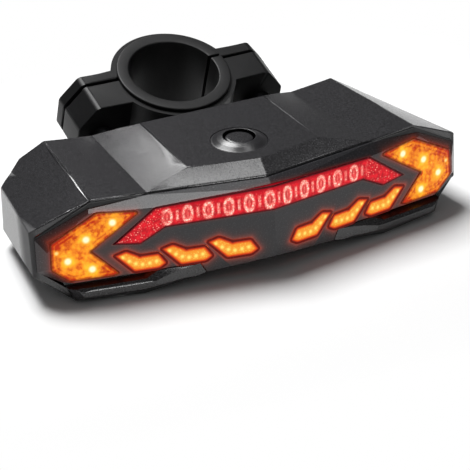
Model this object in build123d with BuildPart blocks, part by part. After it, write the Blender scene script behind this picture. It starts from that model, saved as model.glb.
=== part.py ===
from build123d import *
import math
import os

os.makedirs("parts", exist_ok=True)

# A clip-on tail light with turn signals for a bicycle's seatpost.
# +Z is up, the lit front faces -Y, and X runs along the lamp. The origin is
# at floor height, midway between the front crease and the back of the clamp.

# Lamp body
half_width = 80.0
body_height = 37.0
body_depth = 57.0
deck_front_y = -36.04
wall = 2.2
seam_height = 9.0
overrun = 3.0
fit_gap = 0.15
seat_gap = 0.3

# Section of the body at its front and its rear limit, from the deck's edge
# round to the middle of the underside: shares of half_width and body_height.
front_section_share = -0.351
rear_section_share = 0.877
front_profile_shares = (
    (0.308, 1.0), (0.529, 0.927), (0.779, 0.943), (1.049, 0.714), (1.042, 0.305),
    (0.856, 0.0), (0.565, 0.0), (0.300, 0.100), (0.0, 0.157),
)
rear_profile_shares = (
    (0.291, 1.0), (0.477, 0.871), (0.689, 0.900), (0.909, 0.596), (0.904, 0.155),
    (0.800, 0.0), (0.565, 0.0), (0.300, 0.054), (0.0, 0.081),
)
# Plan of the body: shares of half_width, and of body_depth behind the deck's front.
# The front rim is given at the deck's height and leans back with the front panel.
front_rim_shares = ((0.0, -0.161), (0.518, -0.072), (0.758, -0.034), (1.05, 0.092))
rear_plan_shares = (
    (1.05, 0.581), (0.800, 0.853), (0.694, 0.818), (0.481, 0.784), (0.294, 0.661), (0.0, 0.661),
)
ridge_round = 1.6

# Bevel that joins the deck to the front panel: x share, then the upper and the
# lower edge as y and z shares of body_depth and body_height.
bevel_shares = (
    (0.0, (-0.081, 1.0), (-0.168, 0.884)),
    (0.303, (0.0, 1.0), (-0.115, 0.903)),
    (0.518, (0.050, 0.985), (-0.077, 0.916)),
)
bevel_wall = 2.75

# Front panel: one plane a side, swept back from the crease and leaning back.
crease_share = 0.2386
sweep_share = 0.2358
panel_lean = 0.10
panel_skin = 2.4
panel_edge_gap = 0.6
plug_depth = 10.0
plug_wall = 1.0
border_width = 2.6
panel_outline_shares = (
    (0.0, 0.876), (0.518, 0.903), (0.770, 0.862), (0.985, 0.611),
    (0.985, 0.311), (0.891, 0.195), (0.325, 0.213), (0.300, 0.108), (0.0, 0.162),
)
plug_outline_shares = (
    (0.0, 0.803), (0.518, 0.830), (0.760, 0.792), (0.951, 0.568),
    (0.951, 0.349), (0.882, 0.230), (0.318, 0.230), (0.295, 0.186), (0.0, 0.235),
)
gasket_shares = (
    (0.0, 0.862), (0.518, 0.895), (0.758, 0.913), (0.982, 0.626), (0.982, 0.30), (0.0, 0.30),
)
# How far each of the first six corners of that outline lies behind the panel.
border_drops = (3.4, 1.5, 0.5, 3.0, 3.0, 2.0)

# Lenses, as shares of half_width and body_height
brake_outline_shares = (
    (0.0, 0.835), (0.502, 0.795), (0.683, 0.508), (0.556, 0.492), (0.463, 0.605), (0.0, 0.616),
)
arrow_outline_shares = (
    (0.575, 0.784), (0.750, 0.824), (0.936, 0.589), (0.940, 0.341),
    (0.871, 0.232), (0.666, 0.227), (0.777, 0.486),
)
chevron_outline_shares = (
    (0.681, 0.395), (0.631, 0.432), (0.575, 0.368), (0.510, 0.368), (0.465, 0.262), (0.602, 0.235),
)
chevron_pitch_share = 0.195
chevron_count = 3
lens_recess = 0.3
lens_play = 0.1
lens_flange = 0.9
lens_flange_thickness = 0.9

# Light engine behind the panel
baffle_depth = 3.8
board_thickness = 1.6
stack_gap = 0.1
half_board_gap = 0.6
signal_led_shares = ((0.686, 0.722), (0.799, 0.614), (0.870, 0.408), (0.780, 0.319))
signal_led_size_share = 0.0946
signal_led_height = 1.6
chevron_led_shares = (
    (0.648, 0.381), (0.622, 0.351), (0.599, 0.322), (0.574, 0.295), (0.543, 0.295), (0.519, 0.303),
)
chevron_led_size = 1.2
chevron_led_height = 0.8
brake_led_size = 2.0
brake_led_height = 1.0
brake_led_pitch_share = 0.07
brake_led_count = 7
brake_led_start_share = 0.05
brake_led_share = 0.705
brake_tip_shares = ((0.525, 0.640), (0.588, 0.553))

# Chin lip of the lower case: root on the panel plane, nose in front of it
lip_reach = 2.0
lip_root_shares = (
    (0.326, 0.203), (0.538, 0.200), (0.886, 0.190), (0.853, 0.03), (0.565, 0.0), (0.300, 0.103),
)
lip_nose_shares = (
    (0.350, 0.181), (0.536, 0.127), (0.835, 0.130), (0.820, 0.065), (0.566, 0.059), (0.335, 0.140),
)
lip_full_share = 0.538
lip_depth = 7.5
lip_groove_shares = ((0.500, 0.202), (0.905, 0.200), (0.905, 0.152), (0.845, 0.152), (0.560, 0.156))
lip_groove_depth = 3.0

# Power button on the deck
button_back = 10.4
button_ring_radius = 9.65
button_ring_land = 0.45
button_ring_height = 3.1
button_ring_drop = 0.1
button_rise = 1.7
button_mouth_radius = 5.5
button_well_radius = 12.0
button_well_depth = 4.8
button_hole_radius = 6.1
button_cap_radius = 4.8
button_cap_height = 2.4
button_cap_drop = 0.45
button_crown = 0.35
button_edge = 0.9
button_stem_radius = 2.0
button_travel = 0.8
seal_radius = 8.5
seal_thickness = 0.8

# Electronics
board_width_share = 0.575
board_length_share = 0.526
board_height_share = 0.581
board_gap = 1.0
board_post_radius = 2.2
board_post_inset = 3.0
post_screw_radius = 1.0
post_screw_length = 7.0
screw_play = 0.05
switch_size = 6.0
switch_height = 3.5
plunger_radius = 1.5
plunger_rise = 0.9
plunger_sink = 1.2
cell_width_share = 0.75
cell_length_share = 0.351
cell_thickness = 8.5
cell_gap = 0.7
cell_round = 1.5
cell_floor_share = 0.13
cell_rib = 1.5
cell_rib_share = 0.4
siren_radius_share = 0.1053
siren_gap = 0.8
siren_height = 6.0
siren_floor_share = 0.141
grille_slot_width = 1.4
grille_slot_length = 9.0
grille_pitch = 2.8
grille_count = 4

# Case screws
case_screw_shares = ((0.775, 0.175), (0.750, 0.640))
boss_radius = 3.6
case_screw_radius = 1.5
case_screw_length = 12.0
case_head_radius = 2.8
case_head_height = 2.0
case_head_floor = 2.0
boss_sides = 8
screw_sides = 12
round_sides = 24
sleeve_sides = 48

# Charging port in the rear wall
port_share = 0.588
port_height = 18.0
port_recess_width = 15.0
port_recess_height = 8.0
port_recess_depth = 2.0
port_recess_corner = 0.8
port_block_margin = 1.6
port_block_depth = 2.2
port_shell_width = 9.0
port_shell_height = 3.2
port_shell_depth = 7.4
port_shell_wall = 0.35
port_board_width_share = 0.195
port_board_depth = 12.0
port_board_thickness = 1.2
plug_play = 0.25
plug_insert_width = 7.0
plug_insert_height = 1.8
plug_insert_depth = 1.8
plug_thickness = 1.9
port_shelf = 1.4

# Seatpost clamp. The bore's upper rim is the clamp's reference plane. The wall and the
# liner leave a bore of 31.6 mm for the post.
post_lean = 17.0
clamp_height = 29.0
liner_thickness = 2.5
liner_flange_reach = 1.8
liner_flange_thickness = 1.3
liner_play = 0.1
clamp_outer_radius = 22.0
clamp_wall = 3.6
split_front = 2.6
split_gap = 1.4
front_ear_depth = 11.8
rear_ear_depth = 4.1
ear_root = 14.0
ear_top = 33.0
ear_reach = 39.4
ear_slope = 8.0
ear_round = 3.0
clamp_screw_x = 31.0
hex_sides = 6
clamp_screw_radius = 2.5
clamp_head_radius = 4.25
clamp_head_height = 5.0
clamp_head_sink = 2.8
clamp_socket_radius = 2.3
clamp_socket_depth = 2.6
clamp_nut_radius = 4.6
clamp_nut_height = 4.0
clamp_nut_sink = 2.0
clamp_screw_tail = 1.0

# Tilt pivot between the lamp and the clamp
pivot_gap = 3.2
pivot_height = 14.5
tongue_reach = 4.1
tongue_drop = 21.2
pivot_radius = 2.0
pivot_play = 0.06
eye_radius = 4.2
tongue_half_width = 6.0
lug_thickness = 4.0
lug_gap = 0.3
pocket_half_width = 13.5
pocket_top = 32.5
pocket_depth = 4.0
bracket_thickness = 2.5
bracket_screw_x = 9.8
bracket_screw_heights = (22.5, 28.0)
bracket_screw_radius = 1.25
bracket_head_radius = 2.3
bracket_head_height = 1.4
bracket_screw_length = 5.5
pivot_head_radius = 3.5
pivot_head_height = 2.4
pivot_nut_radius = 3.9
pivot_nut_height = 3.0

# Worked-out places
ridge_x = half_width * (front_profile_shares[2][0] + rear_profile_shares[2][0]) / 2
crease_depth = crease_share * body_depth
panel_sweep = sweep_share * body_depth / half_width
chevron_pitch = chevron_pitch_share * half_width
board_width = board_width_share * half_width
board_length = board_length_share * body_depth
board_height = board_height_share * body_height
signal_led_size = signal_led_size_share * body_height
port_board_width = port_board_width_share * half_width
cell_width = cell_width_share * half_width
cell_length = cell_length_share * body_depth
cell_floor = cell_floor_share * body_height + wall
siren_floor = siren_floor_share * body_height + wall
case_post = seam_height - case_head_floor - case_head_height
bracket_screw_places = [
    (side * bracket_screw_x, z) for side in (-1, 1) for z in bracket_screw_heights
]
deck_z = body_height
front_section_y = deck_front_y + front_section_share * body_depth
rear_section_y = deck_front_y + rear_section_share * body_depth
rear_wall_y = deck_front_y + rear_plan_shares[-1][1] * body_depth
pocket_front_y = rear_wall_y - pocket_depth - wall
board_y = pocket_front_y - board_gap - board_length / 2
cell_y = pocket_front_y - cell_gap - cell_length / 2
siren_radius = siren_radius_share * body_depth
siren_y = cell_y - cell_length / 2 - siren_gap - siren_radius
button_y = deck_front_y + button_back
panel_y0 = deck_front_y - crease_depth - panel_lean * body_height
panel_normal = Vector(panel_sweep, -1, panel_lean)
panel_plane = Plane(origin=(0, panel_y0, 0), x_dir=(1, panel_sweep, 0), z_dir=panel_normal)


def case_points(shares):
    """Half outline in X and Z from shares of the body's half width and height."""
    return [(half_width * x, body_height * z) for x, z in shares]


def full_loop(half):
    """A closed outline from its right half, which starts and ends on X = 0 or not."""
    left = [(-x, z) for x, z in reversed(half) if x > 0]
    return half + left


def plan_points(shares):
    return [(half_width * x, deck_front_y + body_depth * y) for x, y in shares]


def panel_depth(x, z):
    """Y of the front panel's plane above a place in the front view."""
    return panel_y0 + panel_sweep * x + panel_lean * z


def on_panel(point, behind=0):
    """A front-view place in the panel plane's own axes, or in those of a plane behind it."""
    x, z = point
    place = Vector(x, panel_depth(x, z) + behind * panel_normal.length, z)
    local = panel_plane.to_local_coords(place)
    return (local.X, local.Y)


def front_prism(outline, grow, front, back):
    """Right half of a slab behind the front panel, from a front-view outline.

    front and back are depths behind the panel plane, and grow widens the outline.
    """
    with BuildPart() as slab:
        with BuildSketch(Plane.XZ.offset(-deck_front_y)):
            with BuildLine():
                Polyline(*outline, close=True)
            make_face()
            if grow:
                offset(amount=grow, kind=Kind.INTERSECTION)
        extrude(amount=body_depth, both=True)
        split(bisect_by=panel_plane.offset(-front), keep=Keep.BOTTOM)
        split(bisect_by=panel_plane.offset(-back), keep=Keep.TOP)
        split(bisect_by=Plane.YZ, keep=Keep.TOP)
    return slab.part


def crossing(outline):
    """An outline that starts and ends on X = 0, carried past it before growing."""
    first = (-half_width, outline[0][1])
    last = (-half_width, outline[-1][1])
    return [first] + list(outline) + [last]


def case_envelope(inset):
    """The body's outer form, or its cavity when inset by the wall."""
    front_half = case_points(front_profile_shares)
    rear_half = case_points(rear_profile_shares)
    plan_rear = plan_points(rear_plan_shares)
    plan_front = [(0, front_section_y), (plan_rear[0][0], front_section_y)]
    with BuildPart() as envelope:
        for y, half in ((front_section_y, front_half), (rear_section_y, rear_half)):
            with BuildSketch(Plane.XZ.offset(-y)):
                with BuildLine():
                    Polyline(*full_loop(half), close=True)
                make_face()
                if inset:
                    offset(amount=-inset, kind=Kind.INTERSECTION)
        loft(ruled=True)
        with BuildSketch(Plane.XY):
            with BuildLine():
                Polyline(*full_loop(plan_front + plan_rear), close=True)
            make_face()
            if inset:
                offset(amount=-inset, kind=Kind.INTERSECTION)
        extrude(amount=body_height, mode=Mode.INTERSECT)
    return envelope.part


def rim_slab(near, far):
    """A slab along the case's front rim, between two distances behind it."""
    rim = plan_points(front_rim_shares)
    near_side = [(x, y + near) for x, y in rim]
    far_side = [(x, y + far) for x, y in rim]
    with BuildPart() as slab:
        with BuildSketch(Plane.XY.offset(deck_z)):
            with BuildLine():
                Polyline(*near_side, *reversed(far_side), close=True)
            make_face()
        extrude(amount=body_depth, dir=(0, panel_lean, 1), both=True)
        mirror(about=Plane.YZ)
    return slab.part


def bevel_cutter(lower):
    """What the front bevel takes off the deck, lowered by a given amount."""
    stations = []
    for x_share, upper, below in bevel_shares:
        top_y = deck_front_y + body_depth * upper[0]
        low_y = deck_front_y + body_depth * below[0]
        top_z = body_height * upper[1] - lower
        low_z = body_height * below[1] - lower
        rise = (top_z - low_z) / (top_y - low_y)
        stations.append((half_width * x_share, low_y, low_z, rise))
    with BuildPart() as cutter:
        for x, low_y, low_z, rise in stations:
            with BuildSketch(Plane.YZ.offset(x)):
                with BuildLine():
                    Polyline(
                        (low_y - 2 * overrun, low_z - 2 * overrun * rise),
                        (low_y + body_depth / 2, low_z + rise * body_depth / 2),
                        (low_y - 2 * overrun, low_z + rise * body_depth / 2),
                        close=True,
                    )
                make_face()
        loft(ruled=True)
        mirror(about=Plane.YZ)
    return cutter.part


# Case
case_outer = case_envelope(0)
case_cavity = case_envelope(wall)
feature_limit = case_envelope(wall / 2)
deck_bevel = bevel_cutter(0)
cavity_bevel = bevel_cutter(bevel_wall)
case_bosses = [
    (side * half_width * x, deck_front_y + body_depth * y)
    for x, y in case_screw_shares
    for side in (-1, 1)
]
board_posts = [
    (sx * (board_width / 2 - board_post_inset), board_y + sy * (board_length / 2 - board_post_inset))
    for sx in (-1, 1)
    for sy in (-1, 1)
]

port_a, port_b = plan_points(rear_plan_shares)[3], plan_points(rear_plan_shares)[2]
port_x = half_width * port_share
port_slope = (port_b[1] - port_a[1]) / (port_b[0] - port_a[0])
port_y = port_a[1] + port_slope * (port_x - port_a[0])
port_plane = Plane(
    origin=(port_x, port_y, port_height),
    x_dir=(-1, -port_slope, 0),
    z_dir=(-port_slope, 1, 0),
)
port_floor = port_recess_depth + port_block_depth

with BuildPart() as case_core:
    add(case_outer)
    ridges = (
        case_core.edges()
        .filter_by(lambda e: e.length > body_depth / 2)
        .filter_by(lambda e: abs(abs(e.center().X) - ridge_x) < wall and e.center().Z > body_height / 2)
    )
    fillet(ridges, radius=ridge_round)
    add(deck_bevel, mode=Mode.SUBTRACT)
    add(rim_slab(-body_depth, 0), mode=Mode.SUBTRACT)

with BuildPart() as hollow:
    add(case_cavity)
    add(cavity_bevel, mode=Mode.SUBTRACT)

with BuildPart() as upper_features:
    with BuildSketch(Plane.XY.offset(seam_height)):
        with Locations(*case_bosses):
            RegularPolygon(boss_radius, boss_sides)
    extrude(amount=body_height)
    with BuildSketch(Plane.XY.offset(board_height + board_thickness)):
        with Locations(*board_posts):
            RegularPolygon(board_post_radius, boss_sides)
    extrude(amount=body_height)
    with BuildSketch(Plane.XY.offset(deck_z - button_well_depth)):
        with Locations((0, button_y)):
            RegularPolygon(button_well_radius, round_sides)
    extrude(amount=button_well_depth)
    with BuildSketch(Plane.XZ.offset(-rear_wall_y)):
        with Locations((0, (pocket_top + seam_height) / 2)):
            Rectangle(2 * (pocket_half_width + wall), pocket_top - seam_height + 2 * wall)
    extrude(amount=pocket_depth + wall)
    with BuildSketch(port_plane):
        Rectangle(port_recess_width + 2 * port_block_margin, port_recess_height + 2 * port_block_margin)
    extrude(amount=-port_floor)
    with BuildSketch(port_plane):
        with Locations((0, -port_shell_height / 2 - port_board_thickness - port_shelf / 2)):
            Rectangle(port_board_width, port_shelf)
    extrude(amount=-(port_floor + port_board_depth))
    add(feature_limit, mode=Mode.INTERSECT)

with BuildPart() as upper_housing:
    add(case_core.part)
    add(hollow.part, mode=Mode.SUBTRACT)
    add(upper_features.part)
    split(bisect_by=Plane.XY.offset(seam_height), keep=Keep.TOP)
    with BuildSketch(Plane.XZ.offset(-rear_wall_y)):
        with Locations((0, (pocket_top + seam_height - overrun) / 2)):
            Rectangle(2 * pocket_half_width, pocket_top - seam_height + overrun)
    extrude(amount=pocket_depth, mode=Mode.SUBTRACT)
    with BuildSketch(Plane.XZ.offset(-rear_wall_y)):
        with Locations(*bracket_screw_places):
            RegularPolygon(bracket_screw_radius + screw_play, screw_sides)
    extrude(amount=pocket_depth + wall + overrun, mode=Mode.SUBTRACT)
    with BuildSketch(Plane.XY.offset(deck_z)):
        with Locations((0, button_y)):
            Circle(button_ring_radius + fit_gap)
    extrude(amount=-(button_ring_drop + button_ring_height), mode=Mode.SUBTRACT)
    with BuildSketch(Plane.XY.offset(deck_z)):
        with Locations((0, button_y)):
            RegularPolygon(button_hole_radius, round_sides)
    extrude(amount=-body_height / 2, mode=Mode.SUBTRACT)
    with BuildSketch(Plane.XY.offset(seam_height)):
        with Locations(*case_bosses):
            RegularPolygon(case_screw_radius + screw_play, screw_sides)
    extrude(amount=case_screw_length - case_post + seat_gap, mode=Mode.SUBTRACT)
    with BuildSketch(Plane.XY.offset(board_height + board_thickness)):
        with Locations(*board_posts):
            RegularPolygon(post_screw_radius + screw_play, screw_sides)
    extrude(amount=post_screw_length - board_thickness + seat_gap, mode=Mode.SUBTRACT)
    with BuildSketch(port_plane):
        RectangleRounded(port_recess_width, port_recess_height, port_recess_corner)
    extrude(amount=-port_recess_depth, mode=Mode.SUBTRACT)
    with BuildSketch(port_plane):
        Rectangle(port_shell_width + 2 * fit_gap, port_shell_height + 2 * fit_gap)
    extrude(amount=-(port_floor + overrun), mode=Mode.SUBTRACT)
upper_housing.part.label = "upper_housing"

lip_root = case_points(lip_root_shares)
with BuildPart() as chin_lip:
    add(front_prism(lip_root, 0, 0, lip_depth))
    with BuildSketch(panel_plane):
        with BuildLine():
            Polyline(*[on_panel(p) for p in lip_root], close=True)
        make_face()
    with BuildSketch(panel_plane.offset(lip_reach)):
        with BuildLine():
            Polyline(*[on_panel(p, -lip_reach) for p in case_points(lip_nose_shares)], close=True)
        make_face()
    loft(ruled=True)
    lip_arm = [
        Vector(x, panel_depth(x, z) - reach, z)
        for (x, z), reach in (
            (lip_root[0], 0), (lip_root[-1], 0), ((lip_full_share * half_width, lip_root[0][1]), lip_reach),
        )
    ]
    arm_normal = (lip_arm[1] - lip_arm[0]).cross(lip_arm[2] - lip_arm[0])
    split(bisect_by=Plane(origin=lip_arm[0], z_dir=arm_normal), keep=Keep.BOTTOM)
    add(
        front_prism(case_points(lip_groove_shares), 0, -2 * lip_reach, lip_groove_depth),
        mode=Mode.SUBTRACT,
    )
    mirror(about=Plane.YZ)

with BuildPart() as lower_features:
    with BuildSketch(Plane.XY):
        with Locations(*case_bosses):
            RegularPolygon(boss_radius, boss_sides)
    extrude(amount=seam_height)
    with BuildSketch(Plane.XY):
        with Locations(*[(side * cell_width * cell_rib_share, cell_y) for side in (-1, 1)]):
            Rectangle(cell_rib, cell_length)
    extrude(amount=cell_floor)
    add(feature_limit, mode=Mode.INTERSECT)

with BuildPart() as lower_housing:
    add(case_core.part)
    add(hollow.part, mode=Mode.SUBTRACT)
    add(lower_features.part)
    split(bisect_by=Plane.XY.offset(seam_height), keep=Keep.BOTTOM)
    add(chin_lip.part)
    with BuildSketch(Plane.XY):
        with Locations(*case_bosses):
            RegularPolygon(case_screw_radius + screw_play, screw_sides)
    extrude(amount=seam_height, mode=Mode.SUBTRACT)
    with BuildSketch(Plane.XY):
        with Locations(*case_bosses):
            RegularPolygon(case_head_radius + fit_gap, screw_sides)
    extrude(amount=case_head_floor + case_head_height, mode=Mode.SUBTRACT)
    with BuildSketch(Plane.XY):
        with Locations((0, siren_y)):
            with GridLocations(0, grille_pitch, 1, grille_count):
                Rectangle(grille_slot_length, grille_slot_width)
    extrude(amount=seam_height, mode=Mode.SUBTRACT)
lower_housing.part.label = "lower_housing"

# Front panel
panel_outline = case_points(panel_outline_shares)
gasket_outline = case_points(gasket_shares)
plug_outline = case_points(plug_outline_shares)
brake_outline = case_points(brake_outline_shares)
arrow_outline = case_points(arrow_outline_shares)
chevron_outlines = [
    [(x - step * chevron_pitch, z) for x, z in case_points(chevron_outline_shares)]
    for step in range(chevron_count)
]
lens_back = panel_skin + lens_flange_thickness
board_front = lens_back + baffle_depth + 2 * stack_gap


def border_planes(sink):
    """The sloping planes of the panel's border, sunk below its surface."""
    planes = []
    for start, end, start_drop, end_drop in zip(
        panel_outline, panel_outline[1:], border_drops, border_drops[1:]
    ):
        run = Vector(end[0] - start[0], 0, end[1] - start[1]).normalized()
        inner_x = (start[0] + end[0]) / 2 + border_width * run.Z
        inner_z = (start[1] + end[1]) / 2 - border_width * run.X
        low = Vector(start[0], panel_depth(*start) + start_drop, start[1])
        high = Vector(end[0], panel_depth(*end) + end_drop, end[1])
        inner = Vector(inner_x, panel_depth(inner_x, inner_z), inner_z)
        outward = (inner - low).cross(high - low)
        planes.append(Plane(origin=low, x_dir=high - low, z_dir=outward).offset(-sink))
    return planes


with BuildPart() as flange_half:
    add(front_prism(crossing(panel_outline), 0, 0, body_depth / 2))
    for border in border_planes(0):
        split(bisect_by=border, keep=Keep.BOTTOM)
    add(rim_slab(-body_depth, -panel_edge_gap), mode=Mode.INTERSECT)

plug_region = front_prism(crossing(plug_outline), 0, panel_skin, lens_back)

with BuildPart() as panel_blank:
    add(flange_half.part)
    add(front_prism(crossing(plug_outline), 0, panel_skin / 2, plug_depth))

with BuildPart() as front_panel:
    add(panel_blank.part)
    add(
        front_prism(crossing(plug_outline), -plug_wall, panel_skin, plug_depth + overrun),
        mode=Mode.SUBTRACT,
    )
    for outline in (crossing(brake_outline), arrow_outline, *chevron_outlines):
        add(front_prism(outline, 0, -overrun, lens_back), mode=Mode.SUBTRACT)
        rebate = front_prism(outline, lens_flange + lens_play, panel_skin, lens_back) & plug_region
        add(rebate, mode=Mode.SUBTRACT)
    mirror(about=Plane.YZ)
front_panel.part.label = "front_panel"

with BuildPart() as front_gasket:
    add(front_prism(gasket_outline, 0, -overrun, body_depth / 2))
    add(front_prism(crossing(plug_outline), fit_gap, -overrun, body_depth), mode=Mode.SUBTRACT)
    add(rim_slab(-panel_edge_gap, 0), mode=Mode.INTERSECT)
    mirror(about=Plane.YZ)
front_gasket.part.label = "front_gasket"


def lens_half(outline):
    """A lens with the flange that keeps it behind the panel."""
    with BuildPart() as lens:
        add(front_prism(outline, -lens_play, lens_recess, lens_back - stack_gap))
        for border in border_planes(lens_recess):
            split(bisect_by=border, keep=Keep.BOTTOM)
        add(panel_blank.part, mode=Mode.INTERSECT)
        collar = front_prism(outline, lens_flange, panel_skin, lens_back - stack_gap) & plug_region
        add(collar)
    return lens.part


with BuildPart() as brake_lens:
    add(lens_half(crossing(brake_outline)))
    mirror(about=Plane.YZ)
brake_lens.part.label = "brake_lens"

with BuildPart() as arrow_lens_right:
    add(lens_half(arrow_outline))
arrow_lens_right.part.label = "arrow_lens_right"

with BuildPart() as arrow_lens_left:
    add(arrow_lens_right.part.mirror(Plane.YZ))
arrow_lens_left.part.label = "arrow_lens_left"

with BuildPart() as chevron_lens_right:
    for outline in chevron_outlines:
        add(lens_half(outline))
chevron_lens_right.part.label = "chevron_lens_right"

with BuildPart() as chevron_lens_left:
    add(chevron_lens_right.part.mirror(Plane.YZ))
chevron_lens_left.part.label = "chevron_lens_left"

# Light engine
with BuildPart() as baffle_half:
    add(
        front_prism(
            crossing(plug_outline),
            -plug_wall - fit_gap,
            lens_back,
            lens_back + baffle_depth,
        )
    )
    for outline in (crossing(brake_outline), arrow_outline, *chevron_outlines):
        add(front_prism(outline, -lens_play, panel_skin, board_front + overrun), mode=Mode.SUBTRACT)

with BuildPart() as light_baffle:
    add(baffle_half.part.solids().sort_by(SortBy.VOLUME)[-1])
    mirror(about=Plane.YZ)
light_baffle.part.label = "light_baffle"

with BuildPart() as led_board_right:
    add(
        front_prism(
            crossing(plug_outline),
            -plug_wall - fit_gap,
            board_front,
            board_front + board_thickness,
        )
    )
    split(bisect_by=Plane.YZ.offset(half_board_gap / 2), keep=Keep.TOP)
led_board_right.part.label = "led_board_right"

with BuildPart() as led_board_left:
    add(led_board_right.part.mirror(Plane.YZ))
led_board_left.part.label = "led_board_left"

led_plane = panel_plane.offset(-board_front)
signal_places = case_points(signal_led_shares)
chevron_places = [
    (x - step * chevron_pitch, z)
    for step in range(chevron_count)
    for x, z in case_points(chevron_led_shares)
]
brake_places = case_points(brake_tip_shares) + [
    (half_width * (brake_led_start_share + step * brake_led_pitch_share), body_height * brake_led_share)
    for step in range(brake_led_count)
]


def led_group(places, size, height):
    """One side's row of square LED packages on the board."""
    with BuildPart() as leds:
        with BuildSketch(led_plane):
            with Locations(*[on_panel(p, board_front) for p in places]):
                Rectangle(size, size)
        extrude(amount=height)
    return leds.part


with BuildPart() as signal_leds_right:
    add(led_group(signal_places, signal_led_size, signal_led_height))
signal_leds_right.part.label = "signal_leds_right"

with BuildPart() as signal_leds_left:
    add(signal_leds_right.part.mirror(Plane.YZ))
signal_leds_left.part.label = "signal_leds_left"

with BuildPart() as chevron_leds_right:
    add(led_group(chevron_places, chevron_led_size, chevron_led_height))
chevron_leds_right.part.label = "chevron_leds_right"

with BuildPart() as chevron_leds_left:
    add(chevron_leds_right.part.mirror(Plane.YZ))
chevron_leds_left.part.label = "chevron_leds_left"

with BuildPart() as brake_leds:
    add(led_group(brake_places, brake_led_size, brake_led_height))
    mirror(about=Plane.YZ)
brake_leds.part.label = "brake_leds"

# Power button
ring_top = deck_z - button_ring_drop
ring_floor = ring_top - button_ring_height
mouth_top = ring_top + button_rise
with BuildPart() as button_ring:
    with BuildSketch(Plane.XZ.offset(-button_y)):
        with BuildLine():
            Polyline(
                (button_mouth_radius, ring_floor),
                (button_ring_radius, ring_floor),
                (button_ring_radius, ring_top),
                (button_ring_radius - button_ring_land, ring_top),
                (button_mouth_radius + button_ring_land, mouth_top),
                (button_mouth_radius, mouth_top),
                close=True,
            )
        make_face()
    revolve(axis=Axis((0, button_y, 0), (0, 0, 1)))
button_ring.part.label = "button_ring"

switch_base = board_height + board_thickness
switch_top = switch_base + switch_height
plunger_top = switch_top + plunger_rise
cap_top = mouth_top - button_cap_drop
cap_base = cap_top - button_cap_height
seal_top = deck_z - button_well_depth

with BuildPart() as power_button:
    with BuildSketch(Plane.XZ.offset(-button_y)):
        with BuildLine():
            Polyline(
                (button_cap_radius, cap_top - button_crown),
                (button_cap_radius, cap_base),
                (button_stem_radius, cap_base),
                (button_stem_radius, plunger_top),
                (0, plunger_top),
                (0, cap_top),
                (button_cap_radius - button_edge, cap_top),
                close=True,
            )
        make_face()
    revolve(axis=Axis((0, button_y, 0), (0, 0, 1)))
power_button.part.label = "power_button"

with BuildPart() as switch_plunger:
    with BuildSketch(Plane.XY.offset(plunger_top)):
        with Locations((0, button_y)):
            RegularPolygon(plunger_radius, screw_sides)
    extrude(amount=-(plunger_rise + plunger_sink))
switch_plunger.part.label = "switch_plunger"

with BuildPart() as tact_switch:
    with BuildSketch(Plane.XY.offset(switch_base)):
        with Locations((0, button_y)):
            Rectangle(switch_size, switch_size)
    extrude(amount=switch_height)
    with BuildSketch(Plane.XY.offset(switch_top)):
        with Locations((0, button_y)):
            RegularPolygon(plunger_radius + screw_play, screw_sides)
    extrude(amount=-(plunger_sink + button_travel + seat_gap), mode=Mode.SUBTRACT)
tact_switch.part.label = "tact_switch"

with BuildPart() as button_seal:
    with BuildSketch(Plane.XY.offset(seal_top)):
        with Locations((0, button_y)):
            RegularPolygon(seal_radius, round_sides)
            Circle(button_stem_radius + seat_gap, mode=Mode.SUBTRACT)
    extrude(amount=-seal_thickness)
button_seal.part.label = "button_seal"

# Electronics
with BuildPart() as control_board:
    with BuildSketch(Plane.XY.offset(board_height)):
        with Locations((0, board_y)):
            Rectangle(board_width, board_length)
        with Locations(*board_posts):
            RegularPolygon(post_screw_radius + screw_play, screw_sides, mode=Mode.SUBTRACT)
    extrude(amount=board_thickness)
control_board.part.label = "control_board"

with BuildPart() as battery_cell:
    with BuildSketch(Plane.XY.offset(cell_floor)):
        with Locations((0, cell_y)):
            RectangleRounded(cell_width, cell_length, cell_round)
    extrude(amount=cell_thickness)
battery_cell.part.label = "battery_cell"

with BuildPart() as siren:
    with BuildSketch(Plane.XY.offset(siren_floor)):
        with Locations((0, siren_y)):
            RegularPolygon(siren_radius, round_sides)
    extrude(amount=siren_height)
siren.part.label = "siren"


def headed_screws(plane, places, sides, head_radius, head_height, shank_radius, shank_length):
    """Screws whose heads stand on a plane and whose shanks go into it.

    Head and shank have the given number of sides, as the holes that they go into.
    """
    with BuildPart() as screws:
        with BuildSketch(plane):
            with Locations(*places):
                RegularPolygon(head_radius, sides)
        extrude(amount=head_height)
        with BuildSketch(plane):
            with Locations(*places):
                RegularPolygon(shank_radius, sides)
        extrude(amount=-shank_length)
    return screws.part


below_head = Plane(origin=(0, 0, case_head_floor + case_head_height), x_dir=(1, 0, 0), z_dir=(0, 0, -1))
below_board = Plane(origin=(0, 0, board_height), x_dir=(1, 0, 0), z_dir=(0, 0, -1))

with BuildPart() as case_screws:
    add(
        headed_screws(
            below_head,
            [(x, -y) for x, y in case_bosses],
            screw_sides,
            case_head_radius,
            case_head_height,
            case_screw_radius,
            case_screw_length,
        )
    )
case_screws.part.label = "case_screws"

with BuildPart() as board_screws:
    add(
        headed_screws(
            below_board,
            [(x, -y) for x, y in board_posts],
            screw_sides,
            board_post_radius,
            post_screw_radius,
            post_screw_radius,
            post_screw_length,
        )
    )
board_screws.part.label = "board_screws"

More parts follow.
